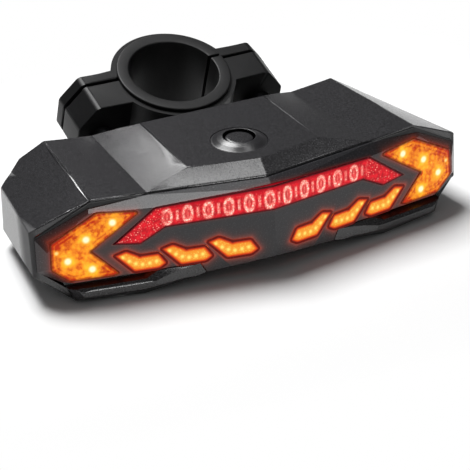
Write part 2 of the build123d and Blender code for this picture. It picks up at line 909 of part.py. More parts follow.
# Charging port
port_mouth = port_plane.offset(-port_recess_depth)
with BuildPart() as charging_port:
    with BuildSketch(port_mouth):
        Rectangle(port_shell_width, port_shell_height)
    extrude(amount=-port_shell_depth)
    with BuildSketch(port_mouth):
        Rectangle(port_shell_width - 2 * port_shell_wall, port_shell_height - 2 * port_shell_wall)
    extrude(amount=-(port_shell_depth - port_shell_wall), mode=Mode.SUBTRACT)
charging_port.part.label = "charging_port"

with BuildPart() as charging_board:
    with BuildSketch(port_plane.offset(-port_floor)):
        with Locations((0, -port_shell_height / 2 - port_board_thickness / 2)):
            Rectangle(port_board_width, port_board_thickness)
    extrude(amount=-port_board_depth)
charging_board.part.label = "charging_board"

plug_width = port_recess_width - 2 * plug_play
plug_height = port_recess_height - 2 * plug_play
plug_round = plug_thickness / 2
plug_hinge_x = plug_round - plug_width / 2
plug_back = port_plane.offset(-port_recess_depth + (port_recess_depth - plug_thickness) / 2)
hinge_origin = port_plane.from_local_coords((plug_hinge_x, -plug_height / 2, -port_recess_depth / 2))
with BuildPart() as port_plug:
    with BuildSketch(plug_back):
        with Locations((plug_round / 2, 0)):
            Rectangle(plug_width - plug_round, plug_height)
    extrude(amount=plug_thickness)
    with BuildSketch(Plane(origin=hinge_origin, x_dir=(1, 0, 0), z_dir=(0, 0, 1))):
        Circle(plug_round)
    extrude(amount=plug_height)
    with BuildSketch(plug_back):
        Rectangle(plug_insert_width, plug_insert_height)
    extrude(amount=-plug_insert_depth)
port_plug.part.label = "port_plug"

# Clamp
lean = math.radians(post_lean)
pivot_y = rear_wall_y + pivot_gap
bore_ahead = Vector(0, math.cos(lean), math.sin(lean))
bore_up = Vector(0, -math.sin(lean), math.cos(lean))
bore_top = (
    Vector(0, pivot_y, pivot_height)
    + bore_ahead * (clamp_outer_radius + tongue_reach)
    + bore_up * tongue_drop
)
clamp_plane = Plane(origin=bore_top, x_dir=(1, 0, 0), z_dir=bore_up)
ear_plane = Plane(origin=bore_top, x_dir=(1, 0, 0), z_dir=-bore_ahead)
split_rear = split_front + split_gap
half_top = liner_flange_thickness
half_height = clamp_height - 2 * liner_flange_thickness
clamp_mid = -clamp_height / 2
shell_inner = clamp_outer_radius - clamp_wall
post_radius = shell_inner - liner_play - liner_thickness
liner_flange_radius = shell_inner + liner_flange_reach
ear_outline = [
    (ear_root, -half_top),
    (ear_top, -half_top),
    (ear_reach, -half_top - ear_slope),
    (ear_reach, -half_top - half_height + ear_slope),
    (ear_top, -half_top - half_height),
    (ear_root, -half_top - half_height),
]
screw_places = [(side * clamp_screw_x, clamp_mid) for side in (-1, 1)]

with BuildPart() as clamp_liner:
    with BuildSketch(clamp_plane):
        RegularPolygon(shell_inner - liner_play, sleeve_sides)
    extrude(amount=-clamp_height)
    for depth in (0, -clamp_height + liner_flange_thickness):
        with BuildSketch(clamp_plane.offset(depth)):
            RegularPolygon(liner_flange_radius, sleeve_sides)
        extrude(amount=-liner_flange_thickness)
    with BuildSketch(clamp_plane):
        Circle(post_radius)
    extrude(amount=-clamp_height, mode=Mode.SUBTRACT)
    with BuildSketch(clamp_plane):
        with Locations((clamp_outer_radius, (split_front + split_rear) / 2)):
            Rectangle(clamp_outer_radius, split_gap)
    extrude(amount=-clamp_height, mode=Mode.SUBTRACT)
clamp_liner.part.label = "clamp_liner"


def clamp_body(ear_start, ear_depth):
    """Ring and ears of one clamp half, before it is cut at the split."""
    with BuildPart() as body:
        with BuildSketch(clamp_plane.offset(-half_top)):
            Circle(clamp_outer_radius)
        extrude(amount=-half_height)
        with BuildSketch(ear_plane.offset(-ear_start)) as ears:
            with BuildLine():
                Polyline(*ear_outline, close=True)
            make_face()
            fillet(ears.vertices().filter_by(lambda v: v.X > ear_root + overrun), radius=ear_round)
            mirror(about=Plane.YZ)
        extrude(amount=ear_depth)
    return body.part


tongue_back = clamp_plane.to_local_coords(Vector(0, pivot_y, pivot_height))
tongue_root = -clamp_outer_radius + wall / 2
tongue_corners = [
    clamp_plane.from_local_coords((0, y, tongue_back.Z + side * eye_radius))
    for side, y in ((1, tongue_back.Y), (1, tongue_root), (-1, tongue_root), (-1, tongue_back.Y))
]

with BuildPart() as clamp_front:
    add(clamp_body(split_front, front_ear_depth))
    split(bisect_by=ear_plane.offset(-split_front), keep=Keep.TOP)
    with BuildSketch(Plane.YZ):
        with Locations((pivot_y, pivot_height)):
            Circle(eye_radius)
        with BuildLine():
            Polyline(*[(corner.Y, corner.Z) for corner in tongue_corners], close=True)
        make_face()
    extrude(amount=tongue_half_width, both=True)
    with BuildSketch(clamp_plane):
        Circle(shell_inner)
    extrude(amount=-clamp_height, mode=Mode.SUBTRACT)
    with BuildSketch(Plane.YZ):
        with Locations((pivot_y, pivot_height)):
            Circle(pivot_radius + pivot_play)
    extrude(amount=half_width, both=True, mode=Mode.SUBTRACT)
    with BuildSketch(ear_plane.offset(-split_front)):
        with Locations(*screw_places):
            RegularPolygon(clamp_screw_radius + screw_play, round_sides)
    extrude(amount=front_ear_depth, mode=Mode.SUBTRACT)
    with BuildSketch(ear_plane.offset(front_ear_depth - split_front)):
        with Locations(*screw_places):
            RegularPolygon(clamp_head_radius + fit_gap, round_sides)
    extrude(amount=-clamp_head_sink, mode=Mode.SUBTRACT)
clamp_front.part.label = "clamp_front"

with BuildPart() as clamp_rear:
    add(clamp_body(split_rear + rear_ear_depth, rear_ear_depth))
    split(bisect_by=ear_plane.offset(-split_rear), keep=Keep.BOTTOM)
    with BuildSketch(clamp_plane):
        Circle(shell_inner)
    extrude(amount=-clamp_height, mode=Mode.SUBTRACT)
    with BuildSketch(ear_plane.offset(-split_rear)):
        with Locations(*screw_places):
            RegularPolygon(clamp_screw_radius + screw_play, round_sides)
    extrude(amount=-rear_ear_depth, mode=Mode.SUBTRACT)
    with BuildSketch(ear_plane.offset(-split_rear - rear_ear_depth)):
        with Locations(*screw_places):
            RegularPolygon(clamp_nut_radius + fit_gap, hex_sides)
    extrude(amount=clamp_nut_sink, mode=Mode.SUBTRACT)
clamp_rear.part.label = "clamp_rear"

head_seat = front_ear_depth - split_front - clamp_head_sink
nut_seat = split_rear + rear_ear_depth - clamp_nut_sink
with BuildPart() as clamp_screws:
    add(
        headed_screws(
            ear_plane.offset(head_seat),
            screw_places,
            round_sides,
            clamp_head_radius,
            clamp_head_height,
            clamp_screw_radius,
            head_seat + nut_seat + clamp_nut_height + clamp_screw_tail,
        )
    )
    with BuildSketch(ear_plane.offset(head_seat + clamp_head_height)):
        with Locations(*screw_places):
            RegularPolygon(clamp_socket_radius, hex_sides)
    extrude(amount=-clamp_socket_depth, mode=Mode.SUBTRACT)
clamp_screws.part.label = "clamp_screws"

with BuildPart() as clamp_nuts:
    with BuildSketch(ear_plane.offset(-nut_seat)):
        with Locations(*screw_places):
            RegularPolygon(clamp_nut_radius, hex_sides)
        with Locations(*screw_places):
            RegularPolygon(clamp_screw_radius + screw_play, round_sides, mode=Mode.SUBTRACT)
    extrude(amount=-clamp_nut_height)
clamp_nuts.part.label = "clamp_nuts"

# Tilt bracket on the lamp's rear wall
bracket_y = rear_wall_y - pocket_depth
lug_start = tongue_half_width + lug_gap
lug_end = lug_start + lug_thickness
with BuildPart() as hinge_bracket:
    with BuildSketch(Plane.XZ.offset(-bracket_y)):
        with Locations((0, (pocket_top + seam_height) / 2)):
            Rectangle(2 * (pocket_half_width - seat_gap), pocket_top - seam_height - 2 * seat_gap)
    extrude(amount=-bracket_thickness)
    with BuildSketch(Plane.YZ.offset(lug_start)):
        with Locations((pivot_y, pivot_height)):
            Circle(eye_radius)
        with Locations(((pivot_y + bracket_y) / 2, pivot_height)):
            Rectangle(pivot_y - bracket_y, 2 * eye_radius)
    extrude(amount=lug_thickness)
    mirror(about=Plane.YZ)
    with BuildSketch(Plane.YZ):
        with Locations((pivot_y, pivot_height)):
            Circle(pivot_radius + screw_play)
    extrude(amount=half_width, both=True, mode=Mode.SUBTRACT)
    with BuildSketch(Plane.XZ.offset(-bracket_y)):
        with Locations(*bracket_screw_places):
            RegularPolygon(bracket_screw_radius + screw_play, screw_sides)
    extrude(amount=-bracket_thickness, mode=Mode.SUBTRACT)
hinge_bracket.part.label = "hinge_bracket"

bracket_face = Plane(
    origin=(0, bracket_y + bracket_thickness, 0),
    x_dir=(-1, 0, 0),
    z_dir=(0, 1, 0),
)
with BuildPart() as bracket_screws:
    add(
        headed_screws(
            bracket_face,
            bracket_screw_places,
            screw_sides,
            bracket_head_radius,
            bracket_head_height,
            bracket_screw_radius,
            bracket_screw_length,
        )
    )
bracket_screws.part.label = "bracket_screws"

with BuildPart() as pivot_screw:
    with BuildSketch(Plane.YZ.offset(lug_end)):
        with Locations((pivot_y, pivot_height)):
            RegularPolygon(pivot_head_radius, round_sides)
    extrude(amount=pivot_head_height)
    with BuildSketch(Plane.YZ.offset(lug_end)):
        with Locations((pivot_y, pivot_height)):
            Circle(pivot_radius)
    extrude(amount=-(2 * lug_end + pivot_nut_height + clamp_screw_tail))
pivot_screw.part.label = "pivot_screw"

with BuildPart() as pivot_nut:
    with BuildSketch(Plane.YZ.offset(-lug_end)):
        with Locations((pivot_y, pivot_height)):
            RegularPolygon(pivot_nut_radius, hex_sides)
            Circle(pivot_radius + screw_play, mode=Mode.SUBTRACT)
    extrude(amount=-pivot_nut_height)
pivot_nut.part.label = "pivot_nut"

pieces = (
    upper_housing, lower_housing, front_panel, front_gasket, brake_lens,
    arrow_lens_left, arrow_lens_right, chevron_lens_left, chevron_lens_right,
    light_baffle, led_board_left, led_board_right, signal_leds_left, signal_leds_right,
    chevron_leds_left, chevron_leds_right, brake_leds, button_ring, power_button,
    switch_plunger, tact_switch, button_seal, control_board, battery_cell, siren,
    case_screws, board_screws, charging_port, charging_board, port_plug,
    clamp_liner, clamp_front, clamp_rear, clamp_screws, clamp_nuts,
    hinge_bracket, bracket_screws, pivot_screw, pivot_nut,
)
for piece in pieces:
    export_step(piece.part, "parts/" + piece.part.label + ".step")
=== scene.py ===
import math

import bmesh
import bpy
import numpy as np
from bpy.props import FloatProperty, FloatVectorProperty, IntProperty, PointerProperty
from bpy.types import Operator, Panel, PropertyGroup
from mathutils import Matrix, Vector


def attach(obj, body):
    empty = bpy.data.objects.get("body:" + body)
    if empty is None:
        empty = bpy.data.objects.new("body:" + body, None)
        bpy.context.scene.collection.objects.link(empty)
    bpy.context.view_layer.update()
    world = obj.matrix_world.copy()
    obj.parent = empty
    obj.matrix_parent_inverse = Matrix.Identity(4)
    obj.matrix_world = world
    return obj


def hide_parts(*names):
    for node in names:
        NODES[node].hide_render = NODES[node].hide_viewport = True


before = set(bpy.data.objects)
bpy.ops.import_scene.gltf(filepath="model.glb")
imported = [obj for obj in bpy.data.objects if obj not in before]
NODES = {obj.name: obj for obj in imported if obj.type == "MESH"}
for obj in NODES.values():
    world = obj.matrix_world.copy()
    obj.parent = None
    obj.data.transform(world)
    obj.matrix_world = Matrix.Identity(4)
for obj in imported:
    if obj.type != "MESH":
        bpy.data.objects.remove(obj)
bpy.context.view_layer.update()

bl_info = {
    "name": "Bicycle turn signal light",
    "version": (1, 0, 0),
    "blender": (4, 5, 0),
    "location": "3D View > Sidebar > Lamp",
    "description": "Finishes, fine pieces and studio for a seatpost tail light with turn signals",
    "category": "Object",
}

MM = 0.001
ROUND_CREASE = 32.0
ZINC = (0.42, 0.42, 0.43)
BLACKENED = (0.05, 0.05, 0.055)

# Front view of the lit face, right half, in millimetres.
BRAKE_WINDOW = (
    (0.0, 31.1), (40.2, 29.6), (54.9, 18.7), (45.6, 17.4), (36.9, 22.0), (0.0, 22.4),
)
ARROW_WINDOW = (
    (45.4, 28.3), (46.2, 29.5), (59.4, 30.9), (75.3, 22.3), (75.6, 12.8),
    (69.6, 7.9), (54.6, 7.7), (52.7, 8.6), (61.7, 17.5),
)
CHEVRON_WINDOW = (
    (55.0, 14.9), (50.5, 16.2), (46.0, 13.75), (39.6, 13.7), (36.9, 9.6), (39.6, 7.9), (48.3, 7.9),
)
CHEVRON_PITCH = 15.6
CHEVRON_LEAN = 0.95
CHEVRON_MIDDLE = 11.0
CHEVRON_REACH = 52.6
ARROW_LAMPS = ((54.4, 26.5), (63.4, 21.9), (69.8, 15.3), (62.0, 11.4))
ARROW_GLINT = (73.3, 18.7)
CHEVRON_LAMPS = ((51.8, 13.7), (49.7, 12.2), (47.6, 11.0), (45.4, 10.4), (43.0, 10.5), (40.7, 10.8))
PRISM_PITCH = 6.95
PRISM_START = -1.6

# The face lies where y is FACE_MIDDLE and so much more per millimetre of |x| and of z.
FACE_MIDDLE = -53.34
FACE_SPREAD = 0.168
FACE_RISE = 0.1

# A window's rim, from its hidden foot to its flat front: insets and lifts in millimetres.
PLATE_RINGS = ((0.0, -0.3), (0.0, 0.04), (0.12, 0.16), (0.35, 0.22))

# Where |x| passes from the case's shoulders to its side walls, which have a coarser skin.
SIDE_WALL = (77.5, 79.0)

# Places of the small pieces, in millimetres.
SEAM_HEIGHT = 9.0
DECK_FRONT = -36.04
BUTTON_PLACE = (0.0, DECK_FRONT + 10.4, 0.0)
PIVOT_PLACE = (0.0, 4.837, 14.5)
POST_LEAN = math.radians(17.0)
POST_AHEAD = Vector((0.0, math.cos(POST_LEAN), math.sin(POST_LEAN)))
POST_UP = Vector((0.0, -math.sin(POST_LEAN), math.cos(POST_LEAN)))
BORE_TOP = Vector(PIVOT_PLACE) + POST_AHEAD * 26.1 + POST_UP * 21.2
SLEEVE_MIDDLE = -14.5
EAR_REACH = 31.0
PIVOT_REACH = 10.3
CASE_SCREWS = ((62.0, -26.065), (60.0, 0.44))
BRACKET_SCREWS = ((9.8, 22.5), (9.8, 28.0))

# Soft boxes: name, place, point that it faces and sides, all in metres, and power in watts.
KEY_BOX = ("key_box", (-0.10, 0.42, 0.91), (0.0, -0.02, 0.0), (0.40, 0.50), 13.8)
GLOSS_BOXES = (
    ("rear_box", (0.130, 0.735, 0.690), (0.0, 0.0, 0.03), (0.22, 0.24), 1.1),
    ("strip_box", (0.335, -0.20, 1.03), (0.335, -0.18, 0.0), (0.20, 0.84), 3.2),
    ("front_box", (0.13, -0.93, 0.38), (0.0, -0.04, 0.02), (0.30, 0.20), 1.9),
)

# The floor's reach in metres. Away from the SHADED half sides it goes over FADE to plain white
# for the eye, both in millimetres.
FLOOR_REACH = 3.0
SHADED = (80.0, 53.0)
FADE = (38.0, 75.0)

# The camera's place in metres and its three directions.
CAMERA_PLACE = (-0.3465, -0.6917, 0.4031)
CAMERA_RIGHT = (0.8880, -0.4599, 0.0)
CAMERA_UP = (0.2172, 0.4193, 0.8815)
CAMERA_AHEAD = (0.4054, 0.7828, -0.4722)


# Shaders


class Wire:
    """One value in a shader, so that shader sums read as ordinary arithmetic."""

    def __init__(self, tree, socket):
        self.tree = tree
        self.socket = socket

    @classmethod
    def work(cls, tree, operation, *values, clamp=False):
        node = tree.nodes.new("ShaderNodeMath")
        node.operation = operation
        node.use_clamp = clamp
        for entry, value in zip(node.inputs, values):
            if isinstance(value, Wire):
                tree.links.new(value.socket, entry)
            else:
                entry.default_value = value
        return cls(tree, node.outputs[0])

    def __add__(self, other):
        return Wire.work(self.tree, "ADD", self, other)

    __radd__ = __add__

    def __mul__(self, other):
        return Wire.work(self.tree, "MULTIPLY", self, other)

    __rmul__ = __mul__

    def __sub__(self, other):
        return Wire.work(self.tree, "SUBTRACT", self, other)

    def __rsub__(self, other):
        return Wire.work(self.tree, "SUBTRACT", other, self)

    def __truediv__(self, other):
        return Wire.work(self.tree, "DIVIDE", self, other)

    def __abs__(self):
        return Wire.work(self.tree, "ABSOLUTE", self)

    def __neg__(self):
        return self * -1.0

    def held(self):
        return Wire.work(self.tree, "ADD", self, 0.0, clamp=True)

    def least(self, other):
        return Wire.work(self.tree, "MINIMUM", self, other)

    def most(self, other):
        return Wire.work(self.tree, "MAXIMUM", self, other)

    def soft_least(self, other, round_over):
        return Wire.work(self.tree, "SMOOTH_MIN", self, other, round_over)

    def fading(self):
        return Wire.work(self.tree, "EXPONENT", -self)

    def root(self):
        return Wire.work(self.tree, "SQRT", self)

    def floor(self):
        return Wire.work(self.tree, "FLOOR", self)

    def rise(self, low, high):
        """From 0 to 1 while the value goes from low to high."""
        run = high - low
        return Wire.work(self.tree, "MULTIPLY_ADD", self, 1 / run, -low / run, clamp=True)


class Finish:
    """A material in the making, with places on the object in millimetres."""

    def __init__(self, name):
        self.material = bpy.data.materials.new(name)
        self.material.use_nodes = True
        self.tree = self.material.node_tree
        self.shader = self.tree.nodes["Principled BSDF"]
        spot = self.node("ShaderNodeTexCoord").outputs["Object"]
        self.place = self.node(
            "ShaderNodeVectorMath", {"operation": "SCALE"}, {0: spot, "Scale": 1 / MM}
        ).outputs[0]
        parts = self.node("ShaderNodeSeparateXYZ", {}, {0: self.place})
        self.x, self.y, self.z = (Wire(self.tree, out) for out in parts.outputs)

    def node(self, kind, settings=None, entries=None):
        """A node of a kind, with its settings set first and then its sockets."""
        node = self.tree.nodes.new(kind)
        for key, value in (settings or {}).items():
            setattr(node, key, value)
        for key, value in (entries or {}).items():
            if isinstance(value, Wire):
                value = value.socket
            if isinstance(value, bpy.types.NodeSocket):
                self.tree.links.new(value, node.inputs[key])
            else:
                node.inputs[key].default_value = value
        return node

    def noise(self, scale, detail=2.0, rough=0.5):
        entries = {"Vector": self.place, "Scale": scale, "Detail": detail, "Roughness": rough}
        return Wire(self.tree, self.node("ShaderNodeTexNoise", {}, entries).outputs["Fac"])

    def cells(self, scale, feature="F1"):
        entries = {"Vector": self.place, "Scale": scale}
        node = self.node("ShaderNodeTexVoronoi", {"feature": feature}, entries)
        return Wire(self.tree, node.outputs["Distance"])

    def blend(self, low, high, share):
        """Colour that goes from low to high as share goes from 0 to 1."""
        entries = {0: share, 6: low, 7: high}
        settings = {"data_type": "RGBA", "clamp_factor": True}
        return self.node("ShaderNodeMix", settings, entries).outputs[2]

    def relief(self, height, depth, strength=1.0):
        entries = {"Height": height, "Distance": depth * MM, "Strength": strength}
        self.give(Normal=self.node("ShaderNodeBump", {}, entries).outputs[0])

    def give(self, **sockets):
        """Sets the shader's sockets; a double name such as Base_Color has a space."""
        for key, value in sockets.items():
            entry = self.shader.inputs[key.replace("_", " ")]
            if isinstance(value, Wire):
                value = value.socket
            if isinstance(value, bpy.types.NodeSocket):
                self.tree.links.new(value, entry)
            else:
                entry.default_value = value

    def length(self, across, up):
        return (across * across + up * up).root()

    def away(self, across, up, corners, closed=True, round_over=0.0):
        """Distance to a chain of straight runs: the nearest point of each run, then the least."""
        ends = corners[1:] + corners[:1] if closed else corners[1:]
        least = None
        for (ax, az), (bx, bz) in zip(corners, ends):
            run_x, run_z = bx - ax, bz - az
            square = run_x * run_x + run_z * run_z
            from_x, from_z = across - ax, up - az
            along = (from_x * (run_x / square) + from_z * (run_z / square)).held()
            far = self.length(from_x - along * run_x, from_z - along * run_z)
            if least is None:
                least = far
            elif round_over:
                least = least.soft_least(far, round_over)
            else:
                least = least.least(far)
        return least

    def spots(self, across, up, places, radius):
        """Sum of soft round spots, each exp(-(distance / radius) squared)."""
        total = None
        for px, pz in places:
            off_x, off_z = across - px, up - pz
            spot = ((off_x * off_x + off_z * off_z) / radius**2).fading()
            total = spot if total is None else total + spot
        return total


def colour(values, dim=1.0):
    return (values[0] * dim, values[1] * dim, values[2] * dim, 1.0)


def chevron_across(finish):
    """X carried onto the outermost chevron, by steps of the pitch along the leaning cells."""
    across = abs(finish.x)
    leaning = across - (finish.z - CHEVRON_MIDDLE) * CHEVRON_LEAN
    step = ((CHEVRON_REACH - leaning) / CHEVRON_PITCH).floor().most(0.0).least(2.0)
    return across + step * CHEVRON_PITCH


def case_plastic(look):
    """Fine-grained matt charcoal moulding."""
    finish = Finish("case_plastic")
    grain = finish.noise(1.6, 3.0, 0.75)
    speck = finish.cells(2.2)
    dark, pale = colour(look.case_colour, 0.45), colour(look.case_colour, 1.75)
    base = finish.blend(dark, pale, grain.rise(0.34, 0.66))
    coarse = abs(finish.x).rise(*SIDE_WALL)
    finish.give(Base_Color=base, Roughness=grain * 0.24 + 0.10 + coarse * 0.42)
    finish.give(Specular_IOR_Level=0.8)
    finish.relief(grain * 0.6 + speck * 0.5, 0.024, 0.8)
    return finish.material


def face_plastic_painted_glow(look):
    """Satin face of the lamp, with a painted red and orange glow close to its windows."""
    finish = Finish("face_plastic_painted_glow")
    across, up = abs(finish.x), finish.z
    grain = finish.noise(2.6, 2.0, 0.6)
    cloud = finish.noise(0.05, 1.0, 0.5)
    dark, pale = colour(look.face_colour, 0.75), colour(look.face_colour, 1.3)
    base = finish.blend(dark, pale, grain * 0.7 + cloud * 0.3)
    chevron = finish.away(chevron_across(finish), up, CHEVRON_WINDOW)
    arrow = finish.away(across, up, ARROW_WINDOW)
    brake = finish.away(across, up, BRAKE_WINDOW, closed=False)
    # Painted glow: red and orange emission on the face, strongest at the window edges and fading
    # with distance from them.
    painted_glow_near = (chevron / 0.65).fading() * 0.75 + (arrow / 0.6).fading() * 0.3
    painted_glow_near = painted_glow_near + (brake / 0.3).fading() * 0.12
    wide = (arrow / 1.6).fading() * 0.06 + (chevron / 1.6).fading() * 0.06
    glow = finish.blend((0, 0, 0, 1), (0.95, 0.07, 0.012, 1), painted_glow_near.held())
    warm = finish.blend((0, 0, 0, 1), (0.75, 0.16, 0.02, 1), wide.held())
    settings = {"data_type": "RGBA", "blend_type": "ADD"}
    both = finish.node("ShaderNodeMix", settings, {0: 1.0, 6: glow, 7: warm})
    finish.give(Base_Color=base, Roughness=grain * 0.12 + 0.20, Emission_Color=both.outputs[2])
    finish.give(Emission_Strength=0.55)
    finish.relief(grain, 0.02, 0.5)
    return finish.material


def arrow_lens(look):
    """Orange arrow: four white-hot lamps in yellow halos behind a blistered lens."""
    finish = Finish("arrow_lens")
    across, up = abs(finish.x), finish.z
    rim = finish.away(across, up, ARROW_WINDOW, round_over=0.8)
    core = finish.spots(across, up, ARROW_LAMPS, 1.0)
    halo = finish.spots(across, up, ARROW_LAMPS, 2.3)
    wide = finish.spots(across, up, ARROW_LAMPS, 5.2)
    glint = finish.spots(across, up, (ARROW_GLINT,), 0.75)
    blister = finish.cells(0.62, "SMOOTH_F1")
    small = finish.cells(1.25)
    bubble = 1.0 - blister.rise(0.12, 0.52)
    pin = 1.0 - small.rise(0.08, 0.40)
    cloud = finish.noise(0.45, 2.0, 0.6).rise(0.36, 0.66)
    ripple = Wire.work(finish.tree, "SINE", rim * 5.2) * (1.0 - rim.rise(1.0, 4.2))
    amount = wide * 0.62 + bubble * 0.34 + ripple * 0.24 + pin * 0.24 + cloud * 0.34 - 0.30
    tone = finish.blend((0.42, 0.020, 0.002, 1), (0.90, 0.23, 0.008, 1), amount.held())
    yellow = halo * 0.95 + (bubble + cloud) * wide * 0.40 + pin * wide * 0.24 + glint - 0.08
    tone = finish.blend(tone, (0.93, 0.46, 0.022, 1), yellow.held())
    tone = finish.blend(tone, (1.0, 0.97, 0.60, 1), (core * 1.7 - 0.15 + glint * 0.5).held())
    tone = finish.blend((0.05, 0.002, 0.001, 1), tone, rim.rise(0.35, 0.95))
    body = finish.blend((0.10, 0.01, 0.002, 1), (0.30, 0.09, 0.01, 1), amount.held())
    finish.give(Base_Color=body, Roughness=0.3, Specular_IOR_Level=0.15)
    finish.give(Emission_Color=tone, Emission_Strength=look.arrow_glow)
    finish.relief(bubble + pin * 0.5 + ripple * 0.4, 0.30, 0.5)
    return finish.material


def chevron_lens(look):
    """Running chevron: a yellow band with six green-yellow lamps inside a dark red rim."""
    finish = Finish("chevron_lens")
    across, up = chevron_across(finish), finish.z
    rim = finish.away(across, up, CHEVRON_WINDOW, round_over=0.7)
    dots = finish.spots(across, up, CHEVRON_LAMPS, 0.62)
    small = finish.cells(1.5)
    pin = 1.0 - small.rise(0.10, 0.45)
    band = rim.rise(0.75, 1.45)
    tone = finish.blend((0.09, 0.002, 0.001, 1), (0.74, 0.05, 0.005, 1), rim.rise(0.28, 0.75))
    warm = finish.blend((0.88, 0.28, 0.015, 1), (0.95, 0.58, 0.09, 1), (pin * 0.9 + 0.1).held())
    tone = finish.blend(tone, warm, band)
    tone = finish.blend(tone, (0.96, 0.84, 0.16, 1), (dots * 1.15).held() * band)
    body = finish.blend((0.08, 0.005, 0.002, 1), (0.3, 0.09, 0.01, 1), band)
    finish.give(Base_Color=body, Roughness=0.3, Specular_IOR_Level=0.15)
    finish.give(Emission_Color=tone, Emission_Strength=look.chevron_glow)
    finish.relief(pin + band, 0.25, 0.5)
    return finish.material


def brake_lens(look):
    """Red bar with a row of upright ring prisms and a bar between each two."""
    finish = Finish("brake_lens")
    across, up = abs(finish.x), finish.z
    rim = finish.away(across, up, BRAKE_WINDOW, closed=False, round_over=0.5)
    floor = 22.8 - across * 0.011
    share = (up - floor) / (8.1 - across * 0.026)
    turn = (finish.x - PRISM_START) / PRISM_PITCH + 0.5
    slot = (turn - turn.floor() - 0.5) * PRISM_PITCH
    height = (share - 0.45) * 7.6
    ring = abs(finish.length(slot / 1.45, height / 2.55) - 1.0)
    hoop = 1.0 - ring.rise(0.16, 0.52)
    stem = abs(abs(slot) - PRISM_PITCH / 2)
    bar = (1.0 - stem.rise(0.28, 0.70)) * (1.0 - abs(height).rise(1.5, 2.2))
    inner = 1.0 - finish.length(slot / 0.5, height / 1.5).rise(0.6, 1.2)
    small = finish.cells(1.35)
    pin = 1.0 - small.rise(0.10, 0.42)
    sparkle = finish.noise(1.2, 2.0, 0.6).rise(0.45, 0.70)
    tip = across.rise(37.0, 39.0)
    flat = 1.0 - tip
    marks = (hoop + bar * 0.8 + inner * 0.5) * flat
    broken = finish.noise(2.1, 2.0, 0.7).rise(0.40, 0.62)
    light = marks * (sparkle * 0.45 + broken * 0.45 + 0.30)
    light = light + pin * (tip * 0.75 + 0.25) * (broken * 0.9 + 0.15)
    shade = finish.noise(0.7, 2.0, 0.6).rise(0.35, 0.65)
    lit = rim.rise(0.2, 1.3) * (shade * 0.6 + 0.4)
    under = finish.blend((0.20, 0.0, 0.004, 1), (0.72, 0.010, 0.020, 1), lit)
    tone = finish.blend(under, (1.0, 0.30, 0.24, 1), light.held() * rim.rise(0.5, 1.0))
    hot = (light - 0.50).rise(0.0, 0.55) * rim.rise(0.5, 1.1)
    tone = finish.blend(tone, (1.0, 0.78, 0.62, 1), hot)
    upper = share.rise(0.80, 0.88) * flat
    tone = finish.blend(tone, (0.42, 0.0, 0.008, 1), upper * 0.8)
    tone = finish.blend((0.010, 0.0, 0.001, 1), tone, rim.rise(0.32, 0.85))
    body = finish.blend((0.08, 0.0, 0.002, 1), (0.25, 0.01, 0.015, 1), light.held())
    finish.give(Base_Color=body, Roughness=0.3, Specular_IOR_Level=0.15)
    finish.give(Emission_Color=tone, Emission_Strength=look.brake_glow)
    finish.relief(marks + pin * 0.5, 0.30, 0.5)
    return finish.material


def moulded(name, base, rough, scale=1.6, depth=0.03, spread=0.3, shine=0.5):
    """Plain moulding or rubber: one colour that wavers a little, with a fine skin."""
    finish = Finish(name)
    grain = finish.noise(scale, 3.0, 0.6)
    tone = finish.blend(colour(base, 1 - spread), colour(base, 1 + spread), grain.rise(0.3, 0.7))
    finish.give(Base_Color=tone, Roughness=grain * 0.14 + (rough - 0.07), Specular_IOR_Level=shine)
    finish.relief(grain, depth, 0.6)
    return finish.material


def metal(name, base, rough, scale=1.2):
    """Plated or blackened steel with faint turning marks."""
    finish = Finish(name)
    grain = finish.noise(scale, 4.0, 0.6)
    tone = finish.blend(colour(base, 0.75), colour(base, 1.15), grain)
    finish.give(Base_Color=tone, Metallic=1.0, Roughness=grain * 0.18 + (rough - 0.09))
    finish.relief(grain, 0.01, 0.4)
    return finish.material


def circuit_board(name, base):
    """Solder mask with paler tracks on a fine grid."""
    finish = Finish(name)
    track_x = abs(finish.x / 1.9 - (finish.x / 1.9).floor() - 0.5)
    track_z = abs(finish.z / 2.3 - (finish.z / 2.3).floor() - 0.5)
    line = 1.0 - track_x.least(track_z).rise(0.05, 0.12)
    track = line * finish.noise(0.4, 1.0).rise(0.48, 0.55)
    finish.give(Base_Color=finish.blend(colour(base), colour(base, 2.2), track), Roughness=0.35)
    finish.relief(track, 0.03)
    return finish.material


def cell_foil():
    """Crinkled foil of the pouch cell."""
    finish = Finish("cell_foil")
    crease = finish.noise(0.35, 3.0, 0.5)
    tone = finish.blend((0.42, 0.43, 0.45, 1), (0.66, 0.67, 0.69, 1), crease)
    finish.give(Base_Color=tone, Metallic=0.9, Roughness=crease * 0.3 + 0.2)
    finish.relief(crease, 0.2, 0.5)
    return finish.material


# Shapes


def round_outline(angle):
    """A circle: the radius is the same at every angle."""
    return np.ones_like(angle)


def hex_outline(angle):
    """A hexagon of unit corners: its flats lie at cos 30 degrees."""
    return math.cos(math.pi / 6) / np.cos(np.mod(angle, math.pi / 3) - math.pi / 6)


def cross_outline(angle):
    """A cross of four arms a third as wide as they are long."""
    folded = np.mod(angle + math.pi / 4, math.pi / 2) - math.pi / 4
    return np.minimum(1 / np.cos(folded), 0.32 / np.maximum(np.abs(np.sin(folded)), 0.01))


def wrap_faces(rows, columns):
    """Quads between neighbouring rows of points, where each row closes on itself."""
    grid = np.meshgrid(np.arange(rows - 1), np.arange(columns), indexing="ij")
    row, column = (side.ravel() for side in grid)
    after = (column + 1) % columns
    corners = (row * columns + column, (row + 1) * columns + column)
    corners += ((row + 1) * columns + after, row * columns + after)
    return np.stack(corners, axis=1)


